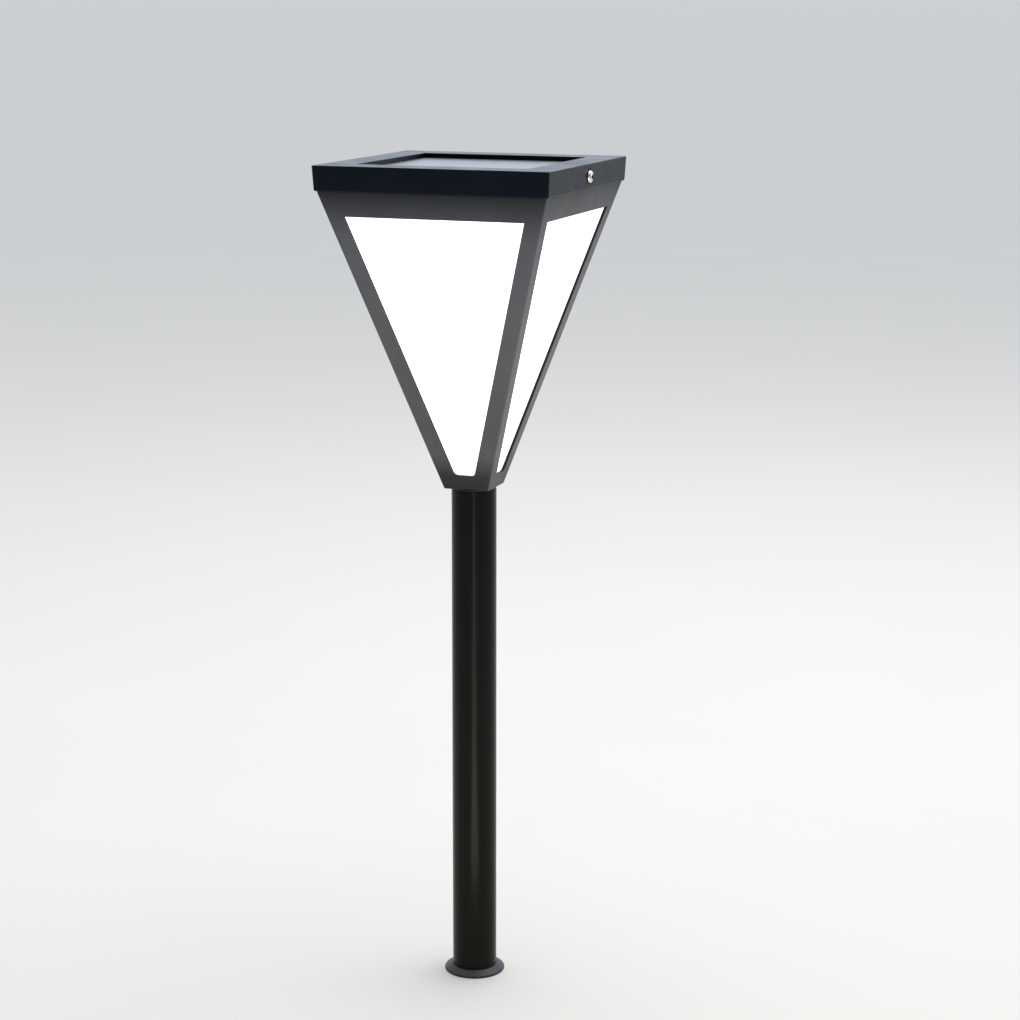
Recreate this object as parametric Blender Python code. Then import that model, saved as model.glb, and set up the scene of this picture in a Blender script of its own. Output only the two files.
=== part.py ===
"""Solar garden light: a square lid with a solar panel, an inverted-pyramid lantern and a pole.

The frame's origin is on the light's vertical centre line at ground level. +Z is up and -Y is the
front. The lid, the lantern, the spigot and the pole all move along or about that centre line.
"""

import math

import bmesh
import bpy
from mathutils import Vector

MM = 0.001

# Driving dimensions
GAP = 0.3 * MM              # air between neighbouring pieces
LID_TOP = 705 * MM          # height of the lid's rim above the ground
LID_HALF = 100 * MM         # half the lid's width at the rim
LID_DRAFT = 1.1 * MM        # how much the skirt narrows towards its foot
LID_CORNER = 1.5 * MM       # radius of the lid's upright corners
LID_EDGE = 1 * MM           # chamfer round the rim's outer edge
INNER_CORNER = 1 * MM       # radius of the upright corners inside the lid
SKIRT_HEIGHT = 20.5 * MM
SKIRT_WALL = 2.3 * MM
RIM_WALL = 2.5 * MM
RECESS_HALF = 73 * MM       # half the recess that holds the panel
PANEL_DROP = 3.8 * MM       # from the rim down to the panel's face
PANEL_THICK = 3 * MM
BOND_THICK = 1 * MM
BOND_WIDTH = 8 * MM
DECK_THICK = 2 * MM

LANTERN_TOP_HALF = 97 * MM
LANTERN_FOOT_HALF = 19.5 * MM
LANTERN_HEIGHT = 251 * MM
LANTERN_CORNER = 1.5 * MM
LANTERN_WALL = 2.5 * MM
LANTERN_FLOOR = 3.5 * MM
INSIDE_CORNER = 0.5 * MM    # radius of the lantern's inner corners
UPSTAND_WALL = 2.4 * MM
UPSTAND_HEIGHT = 14.8 * MM
WINDOW_TOP = 20 * MM        # below the lantern's shoulder
WINDOW_FOOT = 238 * MM
WINDOW_CORNER = 3 * MM
SIDE_BAR = 14.5 * MM        # width of the frame beside a window
WINDOW_CUTTER = 150 * MM    # how far a window's cutter reaches from the centre line
DIFFUSER_THICK = 2 * MM
DIFFUSER_INSET = 7.5 * MM   # from the lantern's edge to the panel's edge
DIFFUSER_LAP = 5 * MM       # how far a panel reaches past its window

POLE_RADIUS = 19 * MM
POLE_WALL = 1 * MM
SPIGOT_LENGTH = 46 * MM
SPIGOT_FLANGE = 1.2 * MM
SPIGOT_WALL = 2.5 * MM
SPIGOT_BOSS = 6 * MM        # radius of the boss for the centre screw
COLLAR_RADIUS = 26 * MM
COLLAR_HEIGHT = 5.5 * MM
PLUG_HEIGHT = 45 * MM
SPIKE_LENGTH = 170 * MM
FIN_HALF = 18 * MM
FIN_THICK = 3.2 * MM

TRAY_HALF = 60 * MM
TRAY_DEPTH = 24 * MM        # from the flange's foot to the floor's foot
TRAY_WALL = 2 * MM
FLANGE_HALF = 88 * MM
SEAL_THICK = 1.2 * MM
BOSS_PLACE = 81.5 * MM
BOSS_RADIUS = 4 * MM

SCREW_RADIUS = 2 * MM       # shank of the two side screws
SCREW_HEAD = 5 * MM
SCREW_DROP = 10.3 * MM      # from the rim down to the side screws
SEAT_RADIUS = 6.4 * MM
SEAT_DEPTH = 1 * MM
NUT_HALF = 3.5 * MM
NUT_THICK = 3 * MM
SMALL_SHANK = 1.25 * MM     # shank of the screws inside the lid
SMALL_HEAD = 2.8 * MM

BOARD_THICK = 1.6 * MM
LED_BOARD_RADIUS = 34 * MM
LED_CIRCLE = 20 * MM
LED_COUNT = 6
LED_HALF = 2.5 * MM
LED_SCREW_PLACE = 29 * MM
CELL_RADIUS = 9.2 * MM
CELL_LENGTH = 65 * MM
HOLDER_HALF_LENGTH = 39 * MM
HOLDER_HALF_WIDTH = 11 * MM
HOLDER_HEIGHT = 15 * MM
HOLDER_WALL = 1.5 * MM
HOLDER_Y = 30 * MM
CONTROL_CENTRE = Vector((-20 * MM, -24 * MM, 0))
CONTROL_HALF_X = 25 * MM
CONTROL_HALF_Y = 17 * MM
CONTROL_POST = 6 * MM
SWITCH_Y = -50 * MM
SWITCH_HALF = 6.8 * MM
SWITCH_NECK = 6 * MM
BUTTON_RADIUS = 4 * MM
PANEL_LEAD_PLACE = (-20 * MM, 4 * MM)
PANEL_LEAD_HOLE = 2.5 * MM
LED_LEAD_PLACE = (14 * MM, -12 * MM)
LED_LEAD_HOLE = 1.4 * MM
LEAD_RADIUS = 0.7 * MM
LEAD_STEPS = 4              # points between two of a lead's own points

# Heights worked out from the driving dimensions
SKIRT_FOOT = LID_TOP - SKIRT_HEIGHT
PANEL_TOP = LID_TOP - PANEL_DROP
PANEL_FOOT = PANEL_TOP - PANEL_THICK
DECK_TOP = PANEL_FOOT - BOND_THICK - 2 * GAP
DECK_FOOT = DECK_TOP - DECK_THICK
FLANGE_TOP = DECK_FOOT - SEAL_THICK - 2 * GAP
FLANGE_FOOT = FLANGE_TOP - TRAY_WALL
TRAY_FOOT = FLANGE_FOOT - TRAY_DEPTH
TRAY_FLOOR = TRAY_FOOT + TRAY_WALL
LED_BOARD_TOP = TRAY_FOOT - GAP
LED_BOARD_FOOT = LED_BOARD_TOP - BOARD_THICK
CONTROL_FOOT = TRAY_FLOOR + CONTROL_POST + GAP
CONTROL_TOP = CONTROL_FOOT + BOARD_THICK
SHOULDER = SKIRT_FOOT - GAP
LANTERN_FOOT = SHOULDER - LANTERN_HEIGHT
FLANGE_OF_SPIGOT = LANTERN_FOOT - GAP
POLE_TOP = FLANGE_OF_SPIGOT - SPIGOT_FLANGE - GAP
POLE_FOOT = COLLAR_HEIGHT + GAP
SCREW_Z = LID_TOP - SCREW_DROP

# Widths worked out from the driving dimensions
SLOPE = (LANTERN_TOP_HALF - LANTERN_FOOT_HALF) / LANTERN_HEIGHT
TILT = math.atan(SLOPE)
WALL_ACROSS = LANTERN_WALL / math.cos(TILT)
SKIRT_INSIDE = LID_HALF - LID_DRAFT - SKIRT_WALL
RECESS_OUTSIDE = RECESS_HALF + RIM_WALL
UPSTAND_OUTSIDE = SKIRT_INSIDE - GAP
UPSTAND_INSIDE = UPSTAND_OUTSIDE - UPSTAND_WALL
POLE_BORE = POLE_RADIUS - POLE_WALL
LID_AT_SCREW = LID_HALF - LID_DRAFT * SCREW_DROP / SKIRT_HEIGHT
SEAT_X = LID_AT_SCREW - SEAT_DEPTH


# Tools

def clear_scene():
    for item in list(bpy.data.objects):
        bpy.data.objects.remove(item, do_unlink=True)


def paint(item, colour, roughness, metallic=0.0):
    """Give an object its own Principled material."""
    material = bpy.data.materials.new(item.name)
    material.use_nodes = True
    shader = material.node_tree.nodes["Principled BSDF"]
    shader.inputs["Base Color"].default_value = (*colour, 1.0)
    shader.inputs["Roughness"].default_value = roughness
    shader.inputs["Metallic"].default_value = metallic
    material.diffuse_color = (*colour, 1.0)
    item.data.materials.append(material)
    return item


def add_object(name, data):
    item = bpy.data.objects.new(name, data)
    bpy.context.scene.collection.objects.link(item)
    return item


def finish_mesh(name, shape, smooth=True):
    """Face the surfaces outwards and make an object of them."""
    bmesh.ops.recalc_face_normals(shape, faces=shape.faces)
    mesh = bpy.data.meshes.new(name)
    shape.to_mesh(mesh)
    shape.free()
    if smooth:
        mesh.shade_smooth()
        mesh.set_sharp_from_angle(angle=math.radians(35))
    return add_object(name, mesh)


def rounded_square(half, radius, z, steps=3):
    """Points of a square with round corners, anticlockwise from above."""
    points = []
    for corner in range(4):
        turn = math.pi / 4 + corner * math.pi / 2
        middle_x = math.copysign(half - radius, math.cos(turn))
        middle_y = math.copysign(half - radius, math.sin(turn))
        for step in range(steps + 1):
            angle = corner * math.pi / 2 + step * math.pi / (2 * steps)
            x = middle_x + radius * math.cos(angle)
            y = middle_y + radius * math.sin(angle)
            points.append((x, y, z))
    return points


def rectangle(half_x, half_y, z, centre=(0, 0)):
    signs = [(1, 1), (-1, 1), (-1, -1), (1, -1)]
    return [(centre[0] + half_x * a, centre[1] + half_y * b, z) for a, b in signs]


def loft(name, rings, closed=False):
    """Join rings of equal length with quads; cap both ends unless the last meets the first."""
    shape = bmesh.new()
    loops = [[shape.verts.new(point) for point in ring] for ring in rings]
    pairs = list(zip(loops, loops[1:]))
    if closed:
        pairs.append((loops[-1], loops[0]))
    else:
        shape.faces.new(loops[0])
        shape.faces.new(loops[-1])
    for lower, upper in pairs:
        for index, start in enumerate(lower):
            after = (index + 1) % len(lower)
            shape.faces.new((start, lower[after], upper[after], upper[index]))
    return finish_mesh(name, shape, smooth=False)


def square_ring(name, outer, inner, foot, top):
    """A flat square ring, such as a gasket."""
    rings = [rectangle(outer, outer, foot), rectangle(outer, outer, top)]
    rings += [rectangle(inner, inner, top), rectangle(inner, inner, foot)]
    return loft(name, rings, closed=True)


def block(name, half_x, half_y, foot, top, centre=(0, 0)):
    rings = [rectangle(half_x, half_y, foot, centre), rectangle(half_x, half_y, top, centre)]
    return loft(name, rings)


def turned(name, profile, steps=32):
    """Spin a profile of (radius, height) points about Z; its ends lie on the axis or meet."""
    shape = bmesh.new()
    points = [shape.verts.new((radius, 0, height)) for radius, height in profile]
    edges = [shape.edges.new(pair) for pair in zip(points, points[1:])]
    if profile[0][0] > 0:
        edges.append(shape.edges.new((points[-1], points[0])))
    bmesh.ops.spin(shape, geom=points + edges, cent=(0, 0, 0), axis=(0, 0, 1),
                   angle=2 * math.pi, steps=steps, use_merge=True)
    bmesh.ops.remove_doubles(shape, verts=shape.verts, dist=0.001 * MM)
    return finish_mesh(name, shape)


def disc(name, radius, foot, top, steps=32):
    return turned(name, [(0, top), (radius, top), (radius, foot), (0, foot)], steps)


def washer(name, outer, inner, foot, top, steps=24):
    return turned(name, [(inner, top), (outer, top), (outer, foot), (inner, foot)], steps)


def pan_screw(name, head, height, shank, length, steps=14):
    """A screw that hangs down from z = 0, with its domed head above."""
    profile = [(0, height), (0.55 * head, 0.93 * height), (0.9 * head, 0.6 * height)]
    profile += [(head, 0.2 * height), (head, 0), (shank, 0), (shank, shank / 2 - length)]
    profile.append((shank / 2, -length))
    profile.append((0, -length))
    return turned(name, profile, steps)


def prism(name, outline, depth):
    """Extrude an outline of (x, z) points by half the depth each way along Y."""
    rings = [[(x, side * depth / 2, z) for x, z in outline] for side in (-1, 1)]
    return loft(name, rings)


def combine(target, helper, operation):
    """Cut a helper from a part, or weld it on; the helper itself is hidden."""
    helper.display_type = "WIRE"
    helper.hide_render = True
    change = target.modifiers.new(helper.name, "BOOLEAN")
    change.operation = operation
    change.solver = "EXACT"
    change.object = helper
    return target


def cut(target, helper):
    return combine(target, helper, "DIFFERENCE")


def weld(target, helper):
    return combine(target, helper, "UNION")


def place(item, location, rotation=(0, 0, 0)):
    item.location = location
    item.rotation_euler = rotation
    return item


def copy_of(item, name, location, rotation=(0, 0, 0)):
    """Another object with the same mesh and material."""
    return place(add_object(name, item.data), location, rotation)


def lead(name, route, colour):
    """A wire along a smooth curve through the route's points."""
    knots = [Vector(point) for point in route]
    knots = [2 * knots[0] - knots[1]] + knots + [2 * knots[-1] - knots[-2]]
    points = []
    for p0, p1, p2, p3 in zip(knots, knots[1:], knots[2:], knots[3:]):
        for step in range(LEAD_STEPS):
            t = step / LEAD_STEPS
            square = 2 * p0 - 5 * p1 + 4 * p2 - p3
            cube = 3 * p1 - p0 - 3 * p2 + p3
            points.append(0.5 * (2 * p1 + (p2 - p0) * t + square * t ** 2 + cube * t ** 3))
    points.append(knots[-2])
    return paint(wire(name, points, LEAD_RADIUS), colour, 0.45)


def wire(name, points, radius):
    curve = bpy.data.curves.new(name, "CURVE")
    curve.dimensions = "3D"
    curve.bevel_depth = radius
    curve.bevel_resolution = 2
    curve.use_fill_caps = True
    spline = curve.splines.new("POLY")
    spline.points.add(len(points) - 1)
    for knot, point in zip(spline.points, points):
        knot.co = (*point, 1)
    return add_object(name, curve)


def four_corners(half):
    return [(half, half), (-half, half), (-half, -half), (half, -half)]


# Lid

def lid_cover():
    """Rim, panel recess, deck and drafted skirt, with four bosses under the rim."""
    rings = [
        rounded_square(RECESS_OUTSIDE, INNER_CORNER, DECK_FOOT),
        rounded_square(RECESS_OUTSIDE, INNER_CORNER, LID_TOP - RIM_WALL),
        rounded_square(SKIRT_INSIDE, INNER_CORNER, LID_TOP - RIM_WALL),
        rounded_square(SKIRT_INSIDE, INNER_CORNER, SKIRT_FOOT),
        rounded_square(LID_HALF - LID_DRAFT, LID_CORNER, SKIRT_FOOT),
        rounded_square(LID_HALF, LID_CORNER, LID_TOP - LID_EDGE),
        rounded_square(LID_HALF - LID_EDGE, LID_CORNER, LID_TOP),
        rounded_square(RECESS_HALF, INNER_CORNER, LID_TOP),
        rounded_square(RECESS_HALF, INNER_CORNER, DECK_TOP),
    ]
    cover = loft("lid_cover", rings)
    boss_foot = FLANGE_TOP + GAP
    for index, (x, y) in enumerate(four_corners(BOSS_PLACE)):
        top = LID_TOP - RIM_WALL / 2
        boss = disc(f"boss_{index}", BOSS_RADIUS, boss_foot, top, 16)
        weld(cover, place(boss, (x, y, 0)))
        hole = disc(f"boss_hole_{index}", SMALL_SHANK + GAP, boss_foot - MM, top - 2 * MM, 12)
        cut(cover, place(hole, (x, y, 0)))
    hole = disc("lead_hole", PANEL_LEAD_HOLE, DECK_FOOT - MM, DECK_TOP + MM, 16)
    cut(cover, place(hole, (*PANEL_LEAD_PLACE, 0)))
    hole = SCREW_RADIUS + GAP
    profile = [(0, LID_HALF + MM), (SEAT_RADIUS, LID_HALF + MM), (SEAT_RADIUS, SEAT_X)]
    profile += [(hole, SEAT_X), (hole, SKIRT_INSIDE - MM), (0, SKIRT_INSIDE - MM)]
    for side in (-1, 1):
        seat = turned(f"screw_seat_{side}", profile, 24)
        cut(cover, place(seat, (0, 0, SCREW_Z), (0, side * math.pi / 2, 0)))
    return paint(cover, (0.018, 0.019, 0.023), 0.45)


def solar_panel():
    half = RECESS_HALF - 0.5 * MM
    panel = block("solar_panel", half, half, PANEL_FOOT, PANEL_TOP)
    return paint(panel, (0.02, 0.025, 0.045), 0.12)


def panel_bond():
    outer = RECESS_HALF - 1.5 * MM
    foot = DECK_TOP + GAP
    bond = square_ring("panel_bond", outer, outer - BOND_WIDTH, foot, foot + BOND_THICK)
    return paint(bond, (0.03, 0.03, 0.03), 0.8)


def tray_seal():
    foot = FLANGE_TOP + GAP
    seal = square_ring("tray_seal", TRAY_HALF + 10 * MM, TRAY_HALF + 2 * MM, foot, foot + SEAL_THICK)
    return paint(seal, (0.3, 0.3, 0.29), 0.8)


def lid_tray():
    """Open box with a wide flange; posts for the controller and holes for screws and leads."""
    inside = TRAY_HALF - TRAY_WALL
    rings = [
        rectangle(TRAY_HALF, TRAY_HALF, TRAY_FOOT),
        rectangle(TRAY_HALF, TRAY_HALF, FLANGE_FOOT),
        rectangle(FLANGE_HALF, FLANGE_HALF, FLANGE_FOOT),
        rectangle(FLANGE_HALF, FLANGE_HALF, FLANGE_TOP),
        rectangle(inside, inside, FLANGE_TOP),
        rectangle(inside, inside, TRAY_FLOOR),
    ]
    tray = loft("lid_tray", rings)
    for index, place_of_post in enumerate(board_screw_places()):
        post = disc(f"post_{index}", 3 * MM, TRAY_FLOOR - MM, TRAY_FLOOR + CONTROL_POST, 16)
        weld(tray, place(post, place_of_post))
        pilot = disc(f"pilot_{index}", SMALL_SHANK + GAP, TRAY_FLOOR + MM, CONTROL_TOP, 12)
        cut(tray, place(pilot, place_of_post))
    for index, (x, y) in enumerate(four_corners(BOSS_PLACE)):
        hole = disc(f"flange_hole_{index}", SMALL_SHANK + GAP, FLANGE_FOOT - MM, FLANGE_TOP + MM, 12)
        cut(tray, place(hole, (x, y, 0)))
    openings = [(side * LED_SCREW_PLACE, 0, SMALL_SHANK + GAP) for side in (-1, 1)]
    openings.append((0, SWITCH_Y, SWITCH_NECK + GAP))
    openings.append((*LED_LEAD_PLACE, LED_LEAD_HOLE))
    for index, (x, y, radius) in enumerate(openings):
        hole = disc(f"floor_hole_{index}", radius, TRAY_FOOT - MM, TRAY_FLOOR + MM, 16)
        cut(tray, place(hole, (x, y, 0)))
    return paint(tray, (0.75, 0.75, 0.73), 0.5)


def tray_screws():
    depth = 7.5 * MM
    first = pan_screw("tray_screw_1", SMALL_HEAD, 2 * MM, SMALL_SHANK, depth)
    paint(first, (0.55, 0.55, 0.54), 0.3, 1.0)
    places = [(x, y, FLANGE_FOOT - GAP) for x, y in four_corners(BOSS_PLACE)]
    place(first, places[0], (math.pi, 0, 0))
    rest = [copy_of(first, f"tray_screw_{n}", spot, (math.pi, 0, 0))
            for n, spot in enumerate(places[1:], 2)]
    return [first] + rest


def side_screws():
    """Two bright pan-head screws through the skirt, with dark washers and square nuts."""
    washer_thick = 0.8 * MM
    head_x = SEAT_X + washer_thick + 2 * GAP
    tip_x = UPSTAND_INSIDE - 2 * GAP - NUT_THICK - 0.7 * MM
    pieces = []
    for side, word in ((1, "right"), (-1, "left")):
        turn = (0, side * math.pi / 2, 0)
        screw = pan_screw(f"lid_screw_{word}", SCREW_HEAD, 2.8 * MM, SCREW_RADIUS, head_x - tip_x, 24)
        place(screw, (side * head_x, 0, SCREW_Z), turn)
        pieces.append(paint(screw, (0.72, 0.71, 0.68), 0.22, 1.0))
        ring = washer(f"screw_washer_{word}", 5.7 * MM, SCREW_RADIUS + GAP, 0, washer_thick)
        place(ring, (side * (SEAT_X + GAP), 0, SCREW_Z), turn)
        pieces.append(paint(ring, (0.01, 0.01, 0.01), 0.7))
        nut = block(f"lid_nut_{word}", NUT_HALF, NUT_HALF, -NUT_THICK, 0)
        cut(nut, place(disc(f"nut_hole_{word}", SCREW_RADIUS + GAP, -9 * MM, 9 * MM, 16),
                       (side * (UPSTAND_INSIDE - GAP), 0, SCREW_Z), turn))
        place(nut, (side * (UPSTAND_INSIDE - GAP), 0, SCREW_Z), turn)
        pieces.append(paint(nut, (0.55, 0.55, 0.54), 0.35, 1.0))
    return pieces


# Electronics

def led_board():
    board = disc("led_board", LED_BOARD_RADIUS, LED_BOARD_FOOT, LED_BOARD_TOP, 40)
    for side in (-1, 1):
        hole = disc(f"led_hole_{side}", SMALL_SHANK + GAP, LED_BOARD_FOOT - MM, LED_BOARD_TOP + MM, 12)
        cut(board, place(hole, (side * LED_SCREW_PLACE, 0, 0)))
    return paint(board, (0.85, 0.85, 0.83), 0.4)


def led_chips():
    height = 1.6 * MM
    top = LED_BOARD_FOOT - GAP
    chips = []
    for index in range(LED_COUNT):
        angle = (index + 0.5) * 2 * math.pi / LED_COUNT
        spot = (LED_CIRCLE * math.cos(angle), LED_CIRCLE * math.sin(angle), top)
        if chips:
            chips.append(copy_of(chips[0], f"led_chip_{index + 1}", spot))
        else:
            chip = block("led_chip_1", LED_HALF, LED_HALF, -height, 0)
            chips.append(place(paint(chip, (0.9, 0.85, 0.6), 0.3), spot))
    return chips


def led_screws():
    first = pan_screw("led_screw_1", SMALL_HEAD, 1.8 * MM, SMALL_SHANK, 5.5 * MM)
    paint(first, (0.55, 0.55, 0.54), 0.3, 1.0)
    head = LED_BOARD_FOOT - GAP
    place(first, (LED_SCREW_PLACE, 0, head), (math.pi, 0, 0))
    return [first, copy_of(first, "led_screw_2", (-LED_SCREW_PLACE, 0, head), (math.pi, 0, 0))]


def board_screw_places():
    reach = Vector((CONTROL_HALF_X - 4 * MM, CONTROL_HALF_Y - 4 * MM, 0))
    return [CONTROL_CENTRE + reach, CONTROL_CENTRE - reach]


def control_board():
    """Circuit board with a chip, a coil, a capacitor and a connector."""
    board = block("control_board", CONTROL_HALF_X, CONTROL_HALF_Y, CONTROL_FOOT, CONTROL_TOP)
    place(board, CONTROL_CENTRE)
    seat = CONTROL_TOP - 0.2 * MM
    middle = CONTROL_CENTRE
    chip = block("chip", 4 * MM, 3 * MM, seat, CONTROL_TOP + 1.6 * MM)
    weld(board, place(chip, middle + Vector((2 * MM, -3 * MM, 0))))
    coil = disc("coil", 4 * MM, seat, CONTROL_TOP + 4.5 * MM, 20)
    weld(board, place(coil, middle + Vector((-11 * MM, 4 * MM, 0))))
    capacitor = disc("capacitor", 3 * MM, seat, CONTROL_TOP + 8 * MM, 20)
    weld(board, place(capacitor, middle + Vector((13 * MM, 1 * MM, 0))))
    for index, spot in enumerate(board_screw_places()):
        hole = disc(f"board_hole_{index}", SMALL_SHANK + GAP, CONTROL_FOOT - MM, CONTROL_TOP + MM, 12)
        cut(board, place(hole, spot))
    return paint(board, (0.02, 0.12, 0.06), 0.4)


def board_screws():
    first = pan_screw("board_screw_1", 2.5 * MM, 1.7 * MM, SMALL_SHANK, 6 * MM)
    paint(first, (0.55, 0.55, 0.54), 0.3, 1.0)
    spots = [spot + Vector((0, 0, CONTROL_TOP + GAP)) for spot in board_screw_places()]
    place(first, spots[0])
    return [first, copy_of(first, "board_screw_2", spots[1])]


def battery_parts():
    """An open-topped holder on tape, with a cell between a plate and a coiled spring."""
    tape_thick = 1 * MM
    nub = 1.2 * MM
    plate = 0.5 * MM
    centre = (0, HOLDER_Y)
    foot = TRAY_FLOOR + tape_thick + 2 * GAP
    inside_x = HOLDER_HALF_LENGTH - HOLDER_WALL
    inside_y = HOLDER_HALF_WIDTH - HOLDER_WALL
    tape = block("holder_tape", HOLDER_HALF_LENGTH - 3 * MM, HOLDER_HALF_WIDTH - 2 * MM,
                 TRAY_FLOOR + GAP, TRAY_FLOOR + GAP + tape_thick, centre)
    paint(tape, (0.5, 0.5, 0.48), 0.8)
    rings = [
        rectangle(HOLDER_HALF_LENGTH, HOLDER_HALF_WIDTH, foot, centre),
        rectangle(HOLDER_HALF_LENGTH, HOLDER_HALF_WIDTH, foot + HOLDER_HEIGHT, centre),
        rectangle(inside_x, inside_y, foot + HOLDER_HEIGHT, centre),
        rectangle(inside_x, inside_y, foot + HOLDER_WALL, centre),
    ]
    holder = paint(loft("battery_holder", rings), (0.02, 0.02, 0.02), 0.5)
    axis_z = foot + HOLDER_WALL + GAP + CELL_RADIUS
    plus_x = inside_x - 2 * GAP - plate
    minus_x = plus_x - CELL_LENGTH
    profile = [(0, 0), (CELL_RADIUS - MM, 0), (CELL_RADIUS, MM), (CELL_RADIUS, CELL_LENGTH - nub - MM)]
    profile += [(CELL_RADIUS - MM, CELL_LENGTH - nub), (3 * MM, CELL_LENGTH - nub)]
    profile += [(3 * MM, CELL_LENGTH), (0, CELL_LENGTH)]
    cell = turned("battery_cell", profile, 28)
    place(cell, (minus_x, HOLDER_Y, axis_z), (0, math.pi / 2, 0))
    paint(cell, (0.05, 0.25, 0.5), 0.35)
    contacts = []
    for name, x in (("contact_plus", inside_x - GAP - plate / 2), ("contact_minus", GAP + plate / 2 - inside_x)):
        contact = block(name, plate / 2, 5 * MM, axis_z - 6 * MM, axis_z + 5 * MM, (x, HOLDER_Y))
        contacts.append(paint(contact, (0.6, 0.58, 0.5), 0.3, 1.0))
    spring = battery_spring(GAP * 2 + plate - inside_x, minus_x - GAP, axis_z)
    return [tape, holder, cell, spring] + contacts


def battery_spring(start, end, height):
    """Conical coil of thin wire between the minus plate and the cell."""
    wire_radius = 0.4 * MM
    turns = 3
    steps = 12
    wide = 5 * MM
    narrow = 3 * MM
    first = start + wire_radius
    travel = end - wire_radius - first
    points = []
    for step in range(turns * steps + 1):
        share = step / (turns * steps)
        angle = 2 * math.pi * step / steps
        radius = wide + (narrow - wide) * share
        y = HOLDER_Y + radius * math.cos(angle)
        points.append((first + travel * share, y, height + radius * math.sin(angle)))
    return paint(wire("contact_spring", points, wire_radius), (0.6, 0.58, 0.5), 0.3, 1.0)


def switch_parts():
    """Push switch: a body inside the tray, its neck through the floor, a nut and the button."""
    body_foot = TRAY_FLOOR + GAP
    neck_foot = TRAY_FOOT - 3 * MM
    bore_top = body_foot + 8 * MM
    body = block("switch_body", SWITCH_HALF, SWITCH_HALF, body_foot, body_foot + 10.5 * MM)
    weld(body, disc("neck", SWITCH_NECK, neck_foot, body_foot + MM, 24))
    cut(body, disc("bore", BUTTON_RADIUS + GAP, neck_foot - MM, bore_top, 24))
    place(body, (0, SWITCH_Y, 0))
    for change in body.modifiers:
        place(change.object, (0, SWITCH_Y, 0))
    paint(body, (0.03, 0.03, 0.03), 0.4)
    nut_top = TRAY_FOOT - GAP
    nut = washer("switch_nut", 8 * MM, SWITCH_NECK + GAP, nut_top - 2 * MM, nut_top)
    paint(place(nut, (0, SWITCH_Y, 0)), (0.03, 0.03, 0.03), 0.4)
    length = 13 * MM
    crown = 0.8 * MM
    profile = [(0, 0), (BUTTON_RADIUS - crown, 0), (BUTTON_RADIUS, crown), (BUTTON_RADIUS, length), (0, length)]
    button = turned("switch_button", profile, 24)
    place(button, (0, SWITCH_Y, neck_foot - 3.5 * MM))
    return [body, nut, paint(button, (0.5, 0.03, 0.02), 0.4)]


def leads():
    """The four leads inside the lid."""
    over_board = CONTROL_TOP + GAP
    board_x = CONTROL_CENTRE.x
    board_y = CONTROL_CENTRE.y
    panel = [(*PANEL_LEAD_PLACE, PANEL_FOOT - GAP)]
    panel.append((*PANEL_LEAD_PLACE, DECK_FOOT - MM))
    panel.append((-19 * MM, -6 * MM, CONTROL_TOP + 8 * MM))
    panel.append((board_x, board_y + 13 * MM, over_board))
    holder_end = -HOLDER_HALF_LENGTH - GAP
    battery = [(holder_end, HOLDER_Y, CONTROL_TOP + 3 * MM)]
    battery.append((holder_end - 5 * MM, HOLDER_Y - 4 * MM, CONTROL_TOP + 5 * MM))
    battery.append((holder_end - 5 * MM, 0, CONTROL_TOP + 7 * MM))
    battery.append((board_x - 19 * MM, board_y + 13 * MM, CONTROL_TOP + 5 * MM))
    battery.append((board_x - 19 * MM, board_y + 11 * MM, over_board))
    switch = [(0, SWITCH_Y, TRAY_FLOOR + 11.2 * MM)]
    switch.append((0, SWITCH_Y + 2 * MM, TRAY_FLOOR + 15 * MM))
    switch.append((-5 * MM, SWITCH_Y + 11 * MM, TRAY_FLOOR + 14 * MM))
    switch.append((-7 * MM, SWITCH_Y + 13 * MM, over_board))
    led = [(board_x + 22 * MM, board_y + 6 * MM, over_board)]
    led.append((board_x + 24 * MM, board_y + 8 * MM, CONTROL_TOP + 5 * MM))
    led.append((10 * MM, -13 * MM, CONTROL_TOP + 4 * MM))
    led.append((*LED_LEAD_PLACE, CONTROL_FOOT - 2 * MM))
    led.append((*LED_LEAD_PLACE, TRAY_FOOT + GAP))
    return [
        lead("panel_lead", panel, (0.5, 0.02, 0.02)),
        lead("battery_lead", battery, (0.5, 0.02, 0.02)),
        lead("switch_lead", switch, (0.02, 0.02, 0.02)),
        lead("led_lead", led, (0.8, 0.8, 0.8)),
    ]


# Lantern

def outer_half(drop):
    """Half the lantern's width at a depth below its shoulder."""
    return LANTERN_TOP_HALF - SLOPE * drop


def window_outline():
    """Trapezium of one window as (x, depth) points, with round lower corners."""
    top = outer_half(WINDOW_TOP) - SIDE_BAR
    foot = outer_half(WINDOW_FOOT) - SIDE_BAR
    points = [(top, WINDOW_TOP), (-top, WINDOW_TOP)]
    swing = math.pi / 2 - TILT
    reach = WINDOW_CORNER * math.tan(swing / 2)
    centre_x = foot - reach
    centre_drop = WINDOW_FOOT - WINDOW_CORNER
    arc = [math.pi / 2 - swing * step / 4 for step in range(5)]
    round_end = [(centre_x + WINDOW_CORNER * math.cos(a), centre_drop + WINDOW_CORNER * math.sin(a)) for a in arc]
    points += [(-x, drop) for x, drop in reversed(round_end)]
    points += round_end
    return points


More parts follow.
